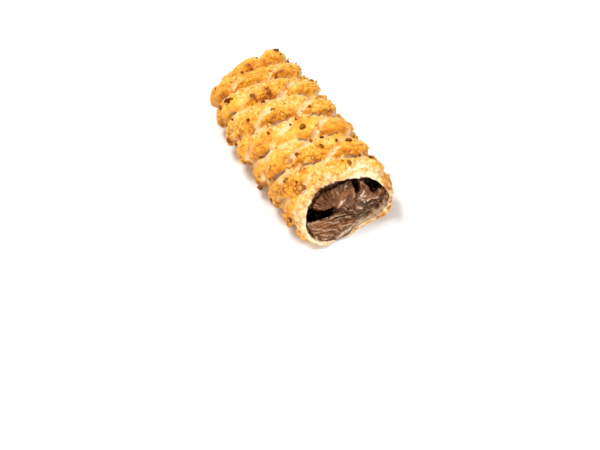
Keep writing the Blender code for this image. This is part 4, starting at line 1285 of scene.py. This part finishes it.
bakedCrumb = {
    "sockets": {"Roughness": 0.5, "Subsurface Weight": 0.2, "Subsurface Scale": 0.8 * mm},
    "specks": (700, 2.0),
    "contrast": (0.65, -0.15),
    "tones": [(0.0, (0.95, 0.58, 0.16)), (0.6, (0.85, 0.38, 0.06)), (1.0, (0.50, 0.15, 0.02))],
    "relief": (2200, 2.0),
    "bump": (0.12 * mm, 0.6),
}


def crumbMaterial():
    material, tree, shader = startMaterial("bakedCrumb", bakedCrumb["sockets"])
    tone = mathNode(tree, "ADD", readAttribute(tree, "tone"), noiseNode(tree, *bakedCrumb["specks"]))
    tone = mathNode(tree, "MULTIPLY_ADD", tone, *bakedCrumb["contrast"], clamp=True)
    colour = colourRamp(tree, tone, bakedCrumb["tones"])
    paint(tree, shader, colour, noiseNode(tree, *bakedCrumb["relief"]), bakedCrumb["bump"])
    return material


glossyCream = {
    "sockets": {"Roughness": 0.14, "Specular IOR Level": 0.7, "Specular Tint": (1.0, 0.67, 0.42, 1)},
    "patches": (420, 4.0, 0.5),
    "tones": [(0.0, (0.026, 0.007, 0.002)), (0.42, (0.130, 0.037, 0.008)), (1.0, (0.39, 0.165, 0.062))],
    # painted highlights on the wet face and pale smears of dough film: their share and colour
    "paintedHighlightShare": 0.9,
    "paintedHighlightAndSmear": (0.95, 0.72, 0.52),
    "shade": (0.010, 0.003, 0.002),
    "relief": (1300, 3.0),
    "bump": (0.1 * mm, 0.35),
}


def creamMaterial():
    material, tree, shader = startMaterial("glossyNougatCream", glossyCream["sockets"])
    patches = unevenTone(tree, *glossyCream["patches"])
    tone = mathNode(tree, "ADD", readAttribute(tree, "tan"), patches, clamp=True)
    colour = colourRamp(tree, tone, glossyCream["tones"])
    # mixes in the painted highlights and pale smears
    paintedHighlightAndSmear = mathNode(tree, "MULTIPLY", readAttribute(tree, "paintedHighlightAndSmear"), glossyCream["paintedHighlightShare"], clamp=True)
    colour = mixColour(tree, paintedHighlightAndSmear, colour, glossyCream["paintedHighlightAndSmear"])
    colour = mixColour(tree, readAttribute(tree, "shade"), colour, glossyCream["shade"])
    paint(tree, shader, colour, noiseNode(tree, *glossyCream["relief"]), glossyCream["bump"])
    return material


# Floor, light and camera
studio = {
    "azimuth": 58.5,  # the side that the camera stands on, in degrees
    "elevation": 55.4,
    "lens": 85.0,
    "sensor": 36.0,
    "imageWidth": 600,
    "imageHeight": 450,
    "pixelSize": 0.469 * mm,  # on the stick, at the target
    "target": Vector((stick["centring"], 0, 17 * mm)),
    "targetPixel": (295.8, 139.1),  # where the target lies in the picture
    "clipStart": 0.01,
    "roomColour": (1.0, 1.0, 1.0, 1),
    "roomStrength": 0.62,
    # way to the lamp as shares of the camera's right, up and back, distance, size and power
    "lamps": {
        "keyLamp": ((-0.4, 0.85, 0.8), 0.9, 0.3, 6.0),
        "frontLamp": ((0.4, -0.2, 0.8), 0.8, 0.12, 0.9),
        "glintLamp": ((0.33, -0.6, 0.72), 0.8, 0.16, 1.8),
    },
    "floorSize": 6.0,
    "floorSockets": {"Roughness": 0.9, "Base Color": (0.86, 0.86, 0.86, 1)},
}


def cameraAxes():
    azimuth, elevation = math.radians(studio["azimuth"]), math.radians(studio["elevation"])
    level = math.cos(elevation)
    back = Vector((math.sin(azimuth) * level, -math.cos(azimuth) * level, math.sin(elevation)))
    right = Vector((math.cos(azimuth), math.sin(azimuth), 0))
    return right, back.cross(right), back


def addCamera():
    right, up, back = cameraAxes()
    data = bpy.data.cameras.new("camera")
    data.lens = studio["lens"]
    data.sensor_width = studio["sensor"]
    data.clip_start = studio["clipStart"]
    camera = addObject("camera", data)
    across = (studio["targetPixel"][0] - studio["imageWidth"] / 2) * studio["pixelSize"]
    rise = (studio["imageHeight"] / 2 - studio["targetPixel"][1]) * studio["pixelSize"]
    distance = studio["pixelSize"] * studio["imageWidth"] * studio["lens"] / studio["sensor"]
    place = studio["target"] - right * across - up * rise + back * distance
    camera.matrix_world = Matrix.Translation(place) @ Matrix((right, up, back)).transposed().to_4x4()
    bpy.context.scene.camera = camera


def addLamp(name, shares, distance, size, power):
    data = bpy.data.lights.new(name, "AREA")
    data.shape = "DISK"
    data.size = size
    data.energy = power
    lamp = addObject(name, data)
    direction = sum((axis * share for axis, share in zip(cameraAxes(), shares)), Vector())
    lamp.location = studio["target"] + direction.normalized() * distance
    lamp.rotation_euler = direction.to_track_quat("Z", "Y").to_euler()


def addFloor():
    body = bmesh.new()
    bmesh.ops.create_grid(body, x_segments=1, y_segments=1, size=studio["floorSize"] / 2)
    piece = meshObject("paleFloor", body, startMaterial("paleFloor", studio["floorSockets"])[0])


def addStudio():
    world = bpy.data.worlds.new("softWhiteRoom")
    bpy.context.scene.world = world
    world.use_nodes = True
    room = world.node_tree.nodes["Background"]
    room.inputs["Color"].default_value = studio["roomColour"]
    room.inputs["Strength"].default_value = studio["roomStrength"]
    for name, settings in studio["lamps"].items():
        addLamp(name, *settings)
    addFloor()
    bpy.context.scene.view_settings.view_transform = "Standard"


addCamera()
print("camera is set")
makeCrust(crustMaterial())
print("crust is made")
makeCream(creamMaterial())
print("cream is made")
makeNuts(nutMaterial())
makeCrumbs(crumbMaterial())
print("nuts and crumbs are scattered")
addStudio()
print("studio is lit")
